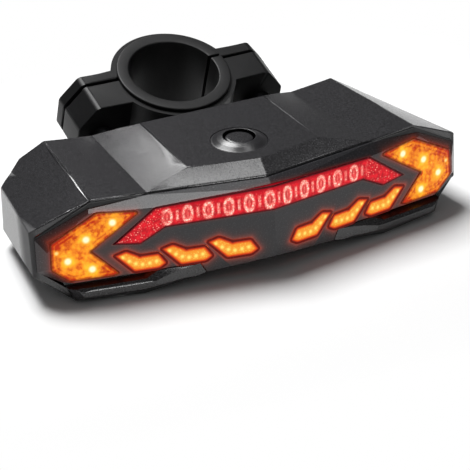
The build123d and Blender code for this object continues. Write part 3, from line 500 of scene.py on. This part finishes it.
def finished_mesh(name, points, faces, crease):
    """Mesh from points and faces, with doubled corners joined and faces turned outwards."""
    mesh = bpy.data.meshes.new(name)
    mesh.from_pydata(points.tolist(), [], faces)
    shape = bmesh.new()
    shape.from_mesh(mesh)
    bmesh.ops.remove_doubles(shape, verts=shape.verts, dist=2e-6)
    bmesh.ops.dissolve_degenerate(shape, edges=shape.edges, dist=1e-7)
    bmesh.ops.recalc_face_normals(shape, faces=shape.faces)
    crisp_edges(shape, crease)
    shape.to_mesh(mesh)
    shape.free()
    return mesh


def crisp_edges(shape, crease):
    """Smooth faces that stay crisp at edges that turn by more than crease degrees."""
    for face in shape.faces:
        face.smooth = True
    for edge in shape.edges:
        edge.smooth = edge.is_manifold and edge.calc_face_angle(0.0) < math.radians(crease)


def turned(name, rings, places, up, count):
    """Turned pieces, one at each place.

    A ring is a radius, a height along the axis and an outline. The point at an angle lies
    at radius times outline(angle) from the axis, and rings join in order from pole to pole.
    """
    up = Vector(up).normalized()
    side = Vector((1, 0, 0)) if abs(up.x) < 0.9 else Vector((0, 1, 0))
    side = (side - up * side.dot(up)).normalized()
    turn = np.array((side, up.cross(side), up))
    angle = np.linspace(0, 2 * math.pi, count, endpoint=False)
    radius = np.array([ring[0] * ring[2](angle) for ring in rings])
    height = np.repeat([[ring[1]] for ring in rings], count, axis=1)
    local = np.stack((radius * np.cos(angle), radius * np.sin(angle), height), axis=-1)
    points, faces = [], []
    for number, place in enumerate(places):
        points.append((local.reshape(-1, 3) @ turn + np.array(place)) * MM)
        faces.append(wrap_faces(len(rings), count) + number * local.shape[0] * count)
    points, faces = np.concatenate(points), np.concatenate(faces).tolist()
    return finished_mesh(name, points, faces, ROUND_CREASE)


def rounded(profile, radius, steps=4):
    """Profile of radii and heights with its inner corners rounded by a curve of three controls.

    Each corner gives way to (1-t)^2 a + 2t(1-t) b + t^2 c between points a and c on its two
    runs, a radius away from the corner b, or less where a run is short.
    """
    profile = np.array(profile, dtype=float)
    share = np.linspace(0, 1, steps + 1)[:, None]
    points = [profile[:1]]
    for before, corner, after in zip(profile, profile[1:], profile[2:]):
        run_in, run_out = np.linalg.norm(before - corner), np.linalg.norm(after - corner)
        start = corner + (before - corner) * min(radius / run_in, 0.45)
        stop = corner + (after - corner) * min(radius / run_out, 0.45)
        bend = (1 - share) ** 2 * start + 2 * share * (1 - share) * corner + share**2 * stop
        points.append(bend)
    points.append(profile[-1:])
    return np.concatenate(points)


def rings_of(profile):
    """Round rings at the radii and heights of a profile."""
    return [(point[0], point[1], round_outline) for point in profile]


def socket_bolt(shank, length, head, height, rim, curve, socket, floor):
    """Rings of a bolt whose round head has a hexagonal socket, given by radii and heights."""
    profile = ((0.0, -length), (shank, -length), (shank, 0.0), (head, 0.0))
    rings = rings_of(rounded((*profile, (head, height), (rim, height)), curve))
    rings += [(radius, level, hex_outline) for radius, level in socket]
    return rings + [(0.0, floor, round_outline)]


def hex_nut(bore, flat, corner, chamfer, height):
    """Rings of a hexagonal nut with both ends turned down to a round flat."""
    rings = [(bore, 0.0, round_outline), (flat, 0.0, round_outline)]
    rings += [(corner, chamfer, hex_outline), (corner, height - chamfer, hex_outline)]
    rings += [(flat, height, round_outline), (bore, height, round_outline)]
    return rings + [(bore, 0.0, round_outline)]


def split_sleeve(name, profile, gap_start, gap_end, count):
    """A sleeve with a parallel-sided slot.

    A closed profile of radii and heights is carried round the bore. At each radius the
    carry runs from asin(gap_end / radius) once round to asin(gap_start / radius).
    """
    profile = np.array(profile)
    radius, height = profile[:, 0], profile[:, 1]
    share = np.linspace(0, 1, count)[:, None]
    first = np.arcsin(gap_end / radius)
    last = np.arcsin(gap_start / radius) + 2 * math.pi
    angle = first + (last - first) * share
    local = np.stack((radius * np.cos(angle), radius * np.sin(angle), height + angle * 0), axis=-1)
    turn = np.array(((1.0, 0.0, 0.0), POST_AHEAD, POST_UP))
    points = (local.reshape(-1, 3) @ turn + np.array(BORE_TOP)) * MM
    across = len(profile)
    faces = wrap_faces(count, across).tolist()
    faces.append(list(range(across)))
    faces.append([(count - 1) * across + corner for corner in range(across)])
    return finished_mesh(name, points, faces, ROUND_CREASE)


def window_plate(corners, curve, side, shift=0.0, open_middle=False):
    """Points and faces of a thin window that stands a little proud of the face.

    The outline is the chain of corners with rounded turns. Each ring of points lies an inset
    inside the outline, along the outline's normal, and a lift in front of the face, where
    y = FACE_MIDDLE + FACE_SPREAD |x| + FACE_RISE z - lift.
    """
    corners = np.array(corners)
    if open_middle:
        loop = rounded(corners, curve)
    else:
        start = (corners[:1] + corners[-1:]) / 2
        loop = rounded(np.concatenate((start, corners, start)), curve)[:-1]
    along = np.roll(loop, -1, axis=0) - np.roll(loop, 1, axis=0)
    inwards = np.stack((along[:, 1], -along[:, 0]), axis=1)
    inwards /= np.linalg.norm(inwards, axis=1)[:, None]
    if open_middle:
        inwards[[0, -1], 0] = 0.0
    rings = []
    for inset, lift in PLATE_RINGS:
        across, up = (loop + inwards * inset).T
        across = across - shift
        ahead = FACE_MIDDLE + FACE_SPREAD * across + FACE_RISE * up - lift
        rings.append(np.stack((side * across, ahead, up), axis=1))
    count = len(loop)
    faces = wrap_faces(len(rings), count).tolist()
    faces += [list(range(count)), list(range((len(rings) - 1) * count, len(rings) * count))]
    return np.concatenate(rings) * MM, faces


def with_plates(mesh, plates):
    """Adds window plates to a mesh and drops the walls where two halves meet in the middle."""
    points = np.concatenate([plate[0] for plate in plates])
    first, faces = 0, []
    for plate in plates:
        faces += [[first + corner for corner in face] for face in plate[1]]
        first += len(plate[0])
    extra = finished_mesh(mesh.name + "_plates", points, faces, 20.0)
    shape = bmesh.new()
    shape.from_mesh(extra)
    middle = [
        face for face in shape.faces if all(abs(corner.co.x) < 1e-6 for corner in face.verts)
    ]
    bmesh.ops.delete(shape, geom=middle, context="FACES")
    bmesh.ops.recalc_face_normals(shape, faces=shape.faces)
    shape.from_mesh(mesh)
    shape.to_mesh(mesh)
    shape.free()
    bpy.data.meshes.remove(extra)
    return mesh


def joined_copy(node, name, chosen, crease=28.0):
    """Copy of a CAD piece with its triangles joined and its chosen edges marked for rounding."""
    shape = bmesh.new()
    shape.from_mesh(NODES[node].data)
    bmesh.ops.remove_doubles(shape, verts=shape.verts, dist=2e-6)
    bmesh.ops.dissolve_limit(
        shape, angle_limit=math.radians(0.4), use_dissolve_boundaries=False,
        verts=shape.verts, edges=shape.edges,
    )
    crisp_edges(shape, crease)
    weight = shape.edges.layers.float.new("bevel_weight_edge")
    for edge in shape.edges:
        edge[weight] = 1.0 if edge.is_manifold and edge.is_convex and chosen(edge) else 0.0
    mesh = bpy.data.meshes.new(name)
    shape.to_mesh(mesh)
    shape.free()
    return mesh


def round_edges(piece, width, segments):
    """Rounds the marked edges of a piece by a width in metres."""
    bevel = piece.modifiers.new("rounded_edges", "BEVEL")
    bevel.limit_method = "WEIGHT"
    bevel.width = width
    bevel.segments = segments
    bevel.use_clamp_overlap = False
    bevel.harden_normals = True
    bevel.miter_outer = "MITER_ARC"


def add_piece(name, mesh, body, nodes, finish):
    """Puts a mesh on its body, with its finish, in place of the CAD nodes that it stands for."""
    piece = bpy.data.objects.new(name, mesh)
    bpy.context.scene.collection.objects.link(piece)
    mesh.materials.clear()
    mesh.materials.append(finish)
    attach(piece, body)
    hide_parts(*nodes)
    return piece


def paint(node, finish):
    """Gives a CAD node a finish and leaves its shape as it is."""
    materials = NODES[node].data.materials
    materials.clear()
    materials.append(finish)


def outer_edge(edge, least_turn, least_length, middle):
    """True for an edge between two faces that both look away from the middle of the piece."""
    turn = edge.calc_face_angle(0.0)
    if edge.calc_length() < least_length * MM or turn < math.radians(least_turn):
        return False
    centre = Vector(middle) * MM
    return all(
        (face.calc_center_median() - centre).dot(face.normal) > 0 for face in edge.link_faces
    )


# Settings


class LampLook(PropertyGroup):
    """Colours of the mouldings and brightness of the windows"""

    case_colour: FloatVectorProperty(
        name="Case colour", description="Colour of the moulded case", subtype="COLOR",
        default=(0.017, 0.0165, 0.0185), min=0.0, max=1.0,
    )
    face_colour: FloatVectorProperty(
        name="Face colour", description="Colour of the front face", subtype="COLOR",
        default=(0.025, 0.0245, 0.028), min=0.0, max=1.0,
    )
    clamp_colour: FloatVectorProperty(
        name="Clamp colour", description="Colour of the seatpost clamp", subtype="COLOR",
        default=(0.006, 0.006, 0.0065), min=0.0, max=1.0,
    )
    arrow_glow: FloatProperty(
        name="Arrow glow", description="Brightness of the lit arrows",
        default=1.15, min=0.0, max=10.0,
    )
    chevron_glow: FloatProperty(
        name="Chevron glow", description="Brightness of the lit chevrons",
        default=0.95, min=0.0, max=10.0,
    )
    brake_glow: FloatProperty(
        name="Brake glow", description="Brightness of the lit brake bar",
        default=1.1, min=0.0, max=10.0,
    )


class LampShape(PropertyGroup):
    """Roundings of the edges"""

    case_edge: FloatProperty(
        name="Case edge", description="Rounding of the case's edges", unit="LENGTH", precision=5,
        default=0.45 * MM, min=0.05 * MM, max=2.0 * MM,
    )
    face_edge: FloatProperty(
        name="Face edge", description="Rounding of the face's edges", unit="LENGTH", precision=5,
        default=0.22 * MM, min=0.05 * MM, max=1.0 * MM,
    )
    clamp_edge: FloatProperty(
        name="Clamp edge", description="Rounding of the clamp's edges", unit="LENGTH", precision=5,
        default=0.6 * MM, min=0.05 * MM, max=2.0 * MM,
    )
    steps: IntProperty(
        name="Steps", description="Steps across a rounded edge", default=3, min=1, max=8
    )


class StageSettings(PropertyGroup):
    """Camera, even light and floor"""

    lens: FloatProperty(
        name="Lens", description="Focal length", unit="CAMERA", default=191.3, min=10.0
    )
    sky: FloatProperty(
        name="Sky", description="Strength of the even light", default=0.11, min=0.0
    )
    floor_colour: FloatVectorProperty(
        name="Floor colour", description="Colour of the floor", subtype="COLOR",
        default=(0.88, 0.88, 0.88), min=0.0, max=1.0,
    )


# Operators


class LAMP_OT_case(Operator):
    """Case halves with rounded outer edges in grained charcoal plastic"""

    bl_idname = "lamp.case"
    bl_label = "Case"

    def execute(self, context):
        shape, finish = context.scene.lamp_shape, case_plastic(context.scene.lamp_look)
        for node, name in (("upper_housing", "case_top"), ("lower_housing", "case_bottom")):
            mesh = joined_copy(node, name, self.rounds_over, 6.5)
            piece = add_piece(name, mesh, "lamp", [node], finish)
            round_edges(piece, shape.case_edge, shape.steps)
        paint("front_gasket", moulded("seal_rubber", (0.008, 0.008, 0.009), 0.6))
        return {"FINISHED"}

    @staticmethod
    def rounds_over(edge):
        low = min(corner.co.z for corner in edge.verts)
        high = max(corner.co.z for corner in edge.verts)
        if abs(low - SEAM_HEIGHT * MM) < 1e-5 and high - low < 1e-5:
            return False
        return outer_edge(edge, 8.0, 4.0, (0.0, -8.0, 14.0))


class LAMP_OT_face(Operator):
    """Front face with softened window edges and a painted glow for the light that would spill on it
    """

    bl_idname = "lamp.face"
    bl_label = "Front face"

    def execute(self, context):
        look, shape = context.scene.lamp_look, context.scene.lamp_shape
        mesh = joined_copy("front_panel", "lamp_face", self.rounds_over, 6.5)
        piece = add_piece("lamp_face", mesh, "lamp", ["front_panel"], face_plastic_painted_glow(look))
        round_edges(piece, shape.face_edge, 2)
        return {"FINISHED"}

    @staticmethod
    def rounds_over(edge):
        ahead = any(face.normal.y < -0.9 for face in edge.link_faces)
        sharp = edge.calc_face_angle(0.0) > math.radians(25.0)
        return ahead and sharp and edge.calc_length() > 2.0 * MM


class LAMP_OT_windows(Operator):
    """Lit windows: arrows, chevrons and the brake bar"""

    bl_idname = "lamp.windows"
    bl_label = "Windows"

    def execute(self, context):
        look = context.scene.lamp_look
        amber, orange, red = arrow_lens(look), chevron_lens(look), brake_lens(look)
        left, right = -1.0, 1.0
        arrows = {side: [window_plate(ARROW_WINDOW, 0.8, side)] for side in (left, right)}
        chevrons = {
            side: [
                window_plate(CHEVRON_WINDOW, 0.9, side, step * CHEVRON_PITCH) for step in range(3)
            ]
            for side in (left, right)
        }
        bars = [window_plate(BRAKE_WINDOW, 0.7, side, open_middle=True) for side in (left, right)]
        for node, name, slot, finish, plates in (
            ("arrow_lens_left", "arrow_window_left", "amber_lens", amber, arrows[left]),
            ("arrow_lens_right", "arrow_window_right", "amber_lens", amber, arrows[right]),
            ("chevron_lens_left", "chevron_window_left", "clear_orange", orange, chevrons[left]),
            ("chevron_lens_right", "chevron_window_right", "clear_orange", orange, chevrons[right]),
            ("brake_lens", "brake_window", "red_lens", red, bars),
        ):
            mesh = with_plates(joined_copy(node, name, lambda edge: False), plates)
            window = add_piece(name, mesh, "lamp", [node], finish)
            window.visible_diffuse = False
        return {"FINISHED"}


class LAMP_OT_button(Operator):
    """Power button: a ring that rises to its mouth and a low cap inside it"""

    bl_idname = "lamp.button"
    bl_label = "Button"

    def execute(self, context):
        bezel = (
            (5.5, 36.0), (5.5, 33.8), (9.65, 33.8), (9.65, 36.88), (9.2, 36.9), (7.6, 37.9),
            (5.95, 38.6), (5.5, 38.6), (5.5, 36.0),
        )
        cap = (
            (0.0, 27.5), (2.0, 27.5), (2.0, 35.75), (4.8, 35.75), (4.8, 37.8),
            (3.9, 38.1), (0.0, 38.15),
        )
        look = context.scene.lamp_look
        bezel_finish = moulded("bezel_plastic", look.case_colour, 0.30, scale=2.0, depth=0.02)
        cap_finish = moulded("cap_plastic", look.case_colour, 0.26, scale=2.4, depth=0.02)
        up, count = (0, 0, 1), 96
        rings = rings_of(rounded(bezel, 0.2)[:-1])
        mesh = turned("button_bezel", rings, [BUTTON_PLACE], up, count)
        add_piece("button_bezel", mesh, "lamp", ["button_ring"], bezel_finish)
        rings = rings_of(rounded(cap, 0.35))
        mesh = turned("button_cap", rings, [BUTTON_PLACE], up, count)
        add_piece("button_cap", mesh, "button", ["power_button"], cap_finish)
        return {"FINISHED"}


class LAMP_OT_clamp(Operator):
    """Seatpost clamp: both shells, the rubber sleeve, bolts and nuts"""

    bl_idname = "lamp.clamp"
    bl_label = "Clamp"

    def execute(self, context):
        look, shape = context.scene.lamp_look, context.scene.lamp_shape
        shell = moulded("clamp_plastic", look.clamp_colour, 0.42, scale=1.8, shine=0.2)
        for node, name in (
            ("clamp_front", "clamp_front_shell"),
            ("clamp_rear", "clamp_rear_shell"),
        ):
            mesh = joined_copy(node, name, self.rounds_over)
            piece = add_piece(name, mesh, "clamp", [node], shell)
            round_edges(piece, shape.clamp_edge, shape.steps)
        sleeve = (
            (15.8, SLEEVE_MIDDLE), (15.8, -29.0), (20.2, -29.0), (20.2, -27.7), (18.3, -27.7),
            (18.3, -1.3), (20.2, -1.3), (20.2, 0.0), (15.8, 0.0), (15.8, SLEEVE_MIDDLE),
        )
        profile = rounded(sleeve, 0.6)[:-1]
        mesh = split_sleeve("post_sleeve", profile, 2.6, 4.0, 150)
        rubber = moulded(
            "sleeve_rubber", (0.006, 0.006, 0.0065), 0.46, scale=1.2, depth=0.05, shine=0.22
        )
        add_piece("post_sleeve", mesh, "clamp", ["clamp_liner"], rubber)
        middle = BORE_TOP + POST_UP * SLEEVE_MIDDLE
        sides = [Vector((side * EAR_REACH, 0.0, 0.0)) for side in (-1, 1)]
        socket = ((2.45, 5.0), (2.3, 4.8), (2.3, 2.4))
        bolt = socket_bolt(2.5, 17.5, 4.25, 5.0, 2.75, 0.3, socket, 2.1)
        seats = [middle + side - POST_AHEAD * 6.4 for side in sides]
        mesh = turned("clamp_bolts", bolt, seats, -POST_AHEAD, 72)
        black = metal("black_bolt", BLACKENED, 0.38)
        add_piece("clamp_bolts", mesh, "clamp", ["clamp_screws"], black)
        nut = hex_nut(2.55, 4.1, 4.6, 0.3, 4.0)
        seats = [middle + side + POST_AHEAD * 6.1 for side in sides]
        mesh = turned("clamp_hex_nuts", nut, seats, POST_AHEAD, 72)
        steel = metal("plated_nut", ZINC, 0.34)
        add_piece("clamp_hex_nuts", mesh, "clamp", ["clamp_nuts"], steel)
        return {"FINISHED"}

    @staticmethod
    def rounds_over(edge):
        if edge.calc_length() < 2.0 * MM or edge.calc_face_angle(0.0) < math.radians(24.0):
            return False
        middle = (edge.verts[0].co + edge.verts[1].co) / 2 / MM - BORE_TOP
        return abs(middle.x) > 21.5


class LAMP_OT_pivot(Operator):
    """Tilt bracket, its screws and the pivot bolt with its nut"""

    bl_idname = "lamp.pivot"
    bl_label = "Pivot"

    def execute(self, context):
        look = context.scene.lamp_look
        mesh = joined_copy("hinge_bracket", "tilt_bracket", self.rounds_over)
        shell = moulded("bracket_plastic", look.clamp_colour, 0.4, scale=1.8)
        piece = add_piece("tilt_bracket", mesh, "lamp", ["hinge_bracket"], shell)
        round_edges(piece, 0.3 * MM, 2)
        steel, black = metal("plated_screw", ZINC, 0.34), metal("black_pivot", BLACKENED, 0.4)
        heads = [(side * x, 0.137, z) for side in (-1, 1) for x, z in BRACKET_SCREWS]
        mesh = turned("bracket_bolts", cross_screw(1.25, 5.5, 2.25, 1.4), heads, (0, 1, 0), 48)
        add_piece("bracket_bolts", mesh, "lamp", ["bracket_screws"], steel)
        socket = ((1.5, 2.4), (1.45, 2.2), (1.45, 1.0))
        bolt = socket_bolt(2.0, 24.6, 3.5, 2.4, 1.9, 0.25, socket, 0.9)
        height = PIVOT_PLACE[1:]
        mesh = turned("pivot_bolt", bolt, [(PIVOT_REACH, *height)], (1, 0, 0), 72)
        add_piece("pivot_bolt", mesh, "lamp", ["pivot_screw"], black)
        nut = hex_nut(2.05, 3.5, 3.9, 0.25, 3.0)
        mesh = turned("pivot_hex_nut", nut, [(-PIVOT_REACH, *height)], (-1, 0, 0), 72)
        add_piece("pivot_hex_nut", mesh, "lamp", ["pivot_nut"], steel)
        return {"FINISHED"}

    @staticmethod
    def rounds_over(edge):
        return edge.calc_length() > 2.0 * MM and edge.calc_face_angle(0.0) > math.radians(40.0)


def cross_screw(shank, length, head, height):
    """Rings of a pan-head screw with a cross recess."""
    rings = rings_of(rounded(((0.0, -length), (shank, -length), (shank, 0.0), (head, 0.0)), 0.2))
    rings += [(head, height * 0.45, round_outline), (head * 0.92, height * 0.8, round_outline)]
    rings += [(head * 0.72, height, round_outline), (head * 0.55, height, cross_outline)]
    rings += [(head * 0.5, height * 0.35, cross_outline), (0.0, height * 0.3, round_outline)]
    return rings


class LAMP_OT_small_pieces(Operator):
    """Case screws, charging socket and its cover"""

    bl_idname = "lamp.small_pieces"
    bl_label = "Small pieces"

    def execute(self, context):
        steel = metal("plated_case_screw", ZINC, 0.34)
        places = [(side * x, y, 4.0) for x, y in CASE_SCREWS for side in (-1, 1)]
        mesh = turned("case_bolts", cross_screw(1.5, 12.0, 2.75, 2.0), places, (0, 0, -1), 48)
        add_piece("case_bolts", mesh, "lamp", ["case_screws"], steel)
        paint("charging_port", metal("socket_steel", (0.45, 0.45, 0.46), 0.3))
        mesh = joined_copy("port_plug", "port_cover", self.rounds_over)
        cover = moulded("cover_rubber", (0.018, 0.018, 0.019), 0.55, scale=1.4, depth=0.04)
        piece = add_piece("port_cover", mesh, "plug", ["port_plug"], cover)
        round_edges(piece, 0.25 * MM, 2)
        return {"FINISHED"}

    @staticmethod
    def rounds_over(edge):
        """True for an edge that turns by more than one radian."""
        return edge.calc_face_angle(0.0) > 1.0


class LAMP_OT_inner_pieces(Operator):
    """Finishes of the pieces inside the case"""

    bl_idname = "lamp.inner_pieces"
    bl_label = "Inner pieces"

    def execute(self, context):
        board = circuit_board("board_mask", (0.012, 0.09, 0.04))
        package = moulded(
            "lamp_package", (0.80, 0.72, 0.40), 0.3, scale=2.0, depth=0.01, spread=0.15
        )
        black = moulded("switch_plastic", (0.03, 0.03, 0.03), 0.4)
        white = moulded(
            "baffle_white", (0.75, 0.75, 0.73), 0.5, scale=1.5, depth=0.01, spread=0.05
        )
        steel = metal("board_screw_steel", ZINC, 0.34)
        for finish, nodes in (
            (board, ("led_board_left", "led_board_right", "control_board", "charging_board")),
            (package, ("signal_leds_left", "signal_leds_right", "brake_leds")),
            (package, ("chevron_leds_left", "chevron_leds_right")),
            (black, ("switch_plunger", "tact_switch", "siren")),
            (steel, ("board_screws",)),
            (cell_foil(), ("battery_cell",)),
            (white, ("light_baffle",)),
            (moulded("button_seal_rubber", (0.012, 0.012, 0.012), 0.6), ("button_seal",)),
        ):
            for node in nodes:
                paint(node, finish)
        return {"FINISHED"}


class LAMP_OT_stage(Operator):
    """Floor, lights, even sky and camera"""

    bl_idname = "lamp.stage"
    bl_label = "Stage"

    def execute(self, context):
        settings = context.scene.lamp_stage
        self.lay_floor(settings)
        self.hang_sky(settings)
        self.hang_lamp(*KEY_BOX)
        for box in GLOSS_BOXES:
            self.hang_lamp(*box).visible_diffuse = False
        self.set_camera(settings)
        context.scene.view_settings.view_transform = "Standard"
        return {"FINISHED"}

    def lay_floor(self, settings):
        corners = [
            (across * FLOOR_REACH, ahead * FLOOR_REACH, 0.0)
            for across, ahead in ((-1, -1), (1, -1), (1, 1), (-1, 1))
        ]
        mesh = bpy.data.meshes.new("floor")
        mesh.from_pydata(corners, [], [(0, 1, 2, 3)])
        floor = bpy.data.objects.new("floor", mesh)
        bpy.context.scene.collection.objects.link(floor)
        finish = Finish("floor_paper")
        fleck = finish.noise(0.02, 1.0, 0.5)
        dark, pale = colour(settings.floor_colour, 0.99), colour(settings.floor_colour)
        paper = finish.blend(dark, pale, fleck)
        finish.give(Base_Color=paper, Roughness=0.9, Specular_IOR_Level=0.1)
        path = finish.node("ShaderNodeLightPath")
        seen = Wire(finish.tree, path.outputs["Is Camera Ray"])
        for ray in ("Is Glossy Ray", "Is Transmission Ray"):
            seen = seen.most(Wire(finish.tree, path.outputs[ray]))
        white = finish.node("ShaderNodeEmission", {}, {"Color": (1, 1, 1, 1), "Strength": 1.0})
        beside = (abs(finish.x) - SHADED[0]).most(0.0)
        ahead = (abs(finish.y) - SHADED[1]).most(0.0)
        far = finish.length(beside, ahead).rise(*FADE)
        both = finish.node(
            "ShaderNodeMixShader", {},
            {0: seen * far, 1: finish.shader.outputs[0], 2: white.outputs[0]},
        )
        output = finish.tree.nodes["Material Output"]
        finish.tree.links.new(both.outputs[0], output.inputs["Surface"])
        mesh.materials.append(finish.material)

    def hang_sky(self, settings):
        world = bpy.data.worlds.new("even_sky")
        world.use_nodes = True
        background = world.node_tree.nodes["Background"]
        background.inputs["Color"].default_value = (1, 1, 1, 1)
        background.inputs["Strength"].default_value = settings.sky
        bpy.context.scene.world = world

    def hang_lamp(self, name, place, aim, size, power):
        light = bpy.data.lights.new(name, "AREA")
        light.shape = "RECTANGLE"
        light.size, light.size_y = size
        light.energy = power
        lamp = bpy.data.objects.new(name, light)
        lamp.location = place
        lamp.rotation_euler = (Vector(aim) - Vector(place)).to_track_quat("-Z", "Y").to_euler()
        bpy.context.scene.collection.objects.link(lamp)
        return lamp

    def set_camera(self, settings):
        camera = bpy.data.cameras.new("photo_view")
        camera.lens = settings.lens
        camera.sensor_width = 36.0
        camera.clip_start = 0.05
        camera.clip_end = 50.0
        viewer = bpy.data.objects.new("photo_view", camera)
        bpy.context.scene.collection.objects.link(viewer)
        columns = (CAMERA_RIGHT, CAMERA_UP, -Vector(CAMERA_AHEAD), CAMERA_PLACE)
        viewer.matrix_world = Matrix((*zip(*columns), (0, 0, 0, 1)))
        bpy.context.scene.camera = viewer


class LAMP_PT_sidebar(Panel):
    """Lists the steps that dress the lamp"""

    bl_idname = "LAMP_PT_sidebar"
    bl_label = "Turn signal light"
    bl_space_type = "VIEW_3D"
    bl_region_type = "UI"
    bl_category = "Lamp"

    def draw(self, context):
        layout = self.layout
        for group in ("lamp_look", "lamp_shape", "lamp_stage"):
            box = layout.box()
            settings = getattr(context.scene, group)
            for key in settings.__annotations__:
                box.prop(settings, key)
        for step in STEPS:
            layout.operator(step.bl_idname)


STEPS = (
    LAMP_OT_case, LAMP_OT_face, LAMP_OT_windows, LAMP_OT_button, LAMP_OT_clamp,
    LAMP_OT_pivot, LAMP_OT_small_pieces, LAMP_OT_inner_pieces, LAMP_OT_stage,
)
GROUPS = (("lamp_look", LampLook), ("lamp_shape", LampShape), ("lamp_stage", StageSettings))


def register():
    for _, group in GROUPS:
        bpy.utils.register_class(group)
    for step in STEPS:
        bpy.utils.register_class(step)
    bpy.utils.register_class(LAMP_PT_sidebar)
    for name, group in GROUPS:
        setattr(bpy.types.Scene, name, PointerProperty(type=group))


def unregister():
    for name, _ in GROUPS:
        delattr(bpy.types.Scene, name)
    bpy.utils.unregister_class(LAMP_PT_sidebar)
    for step in reversed(STEPS):
        bpy.utils.unregister_class(step)
    for _, group in GROUPS:
        bpy.utils.unregister_class(group)


def main():
    register()
    for step in STEPS:
        family, action = step.bl_idname.split(".")
        getattr(getattr(bpy.ops, family), action)()


if __name__ == "__main__":
    main()
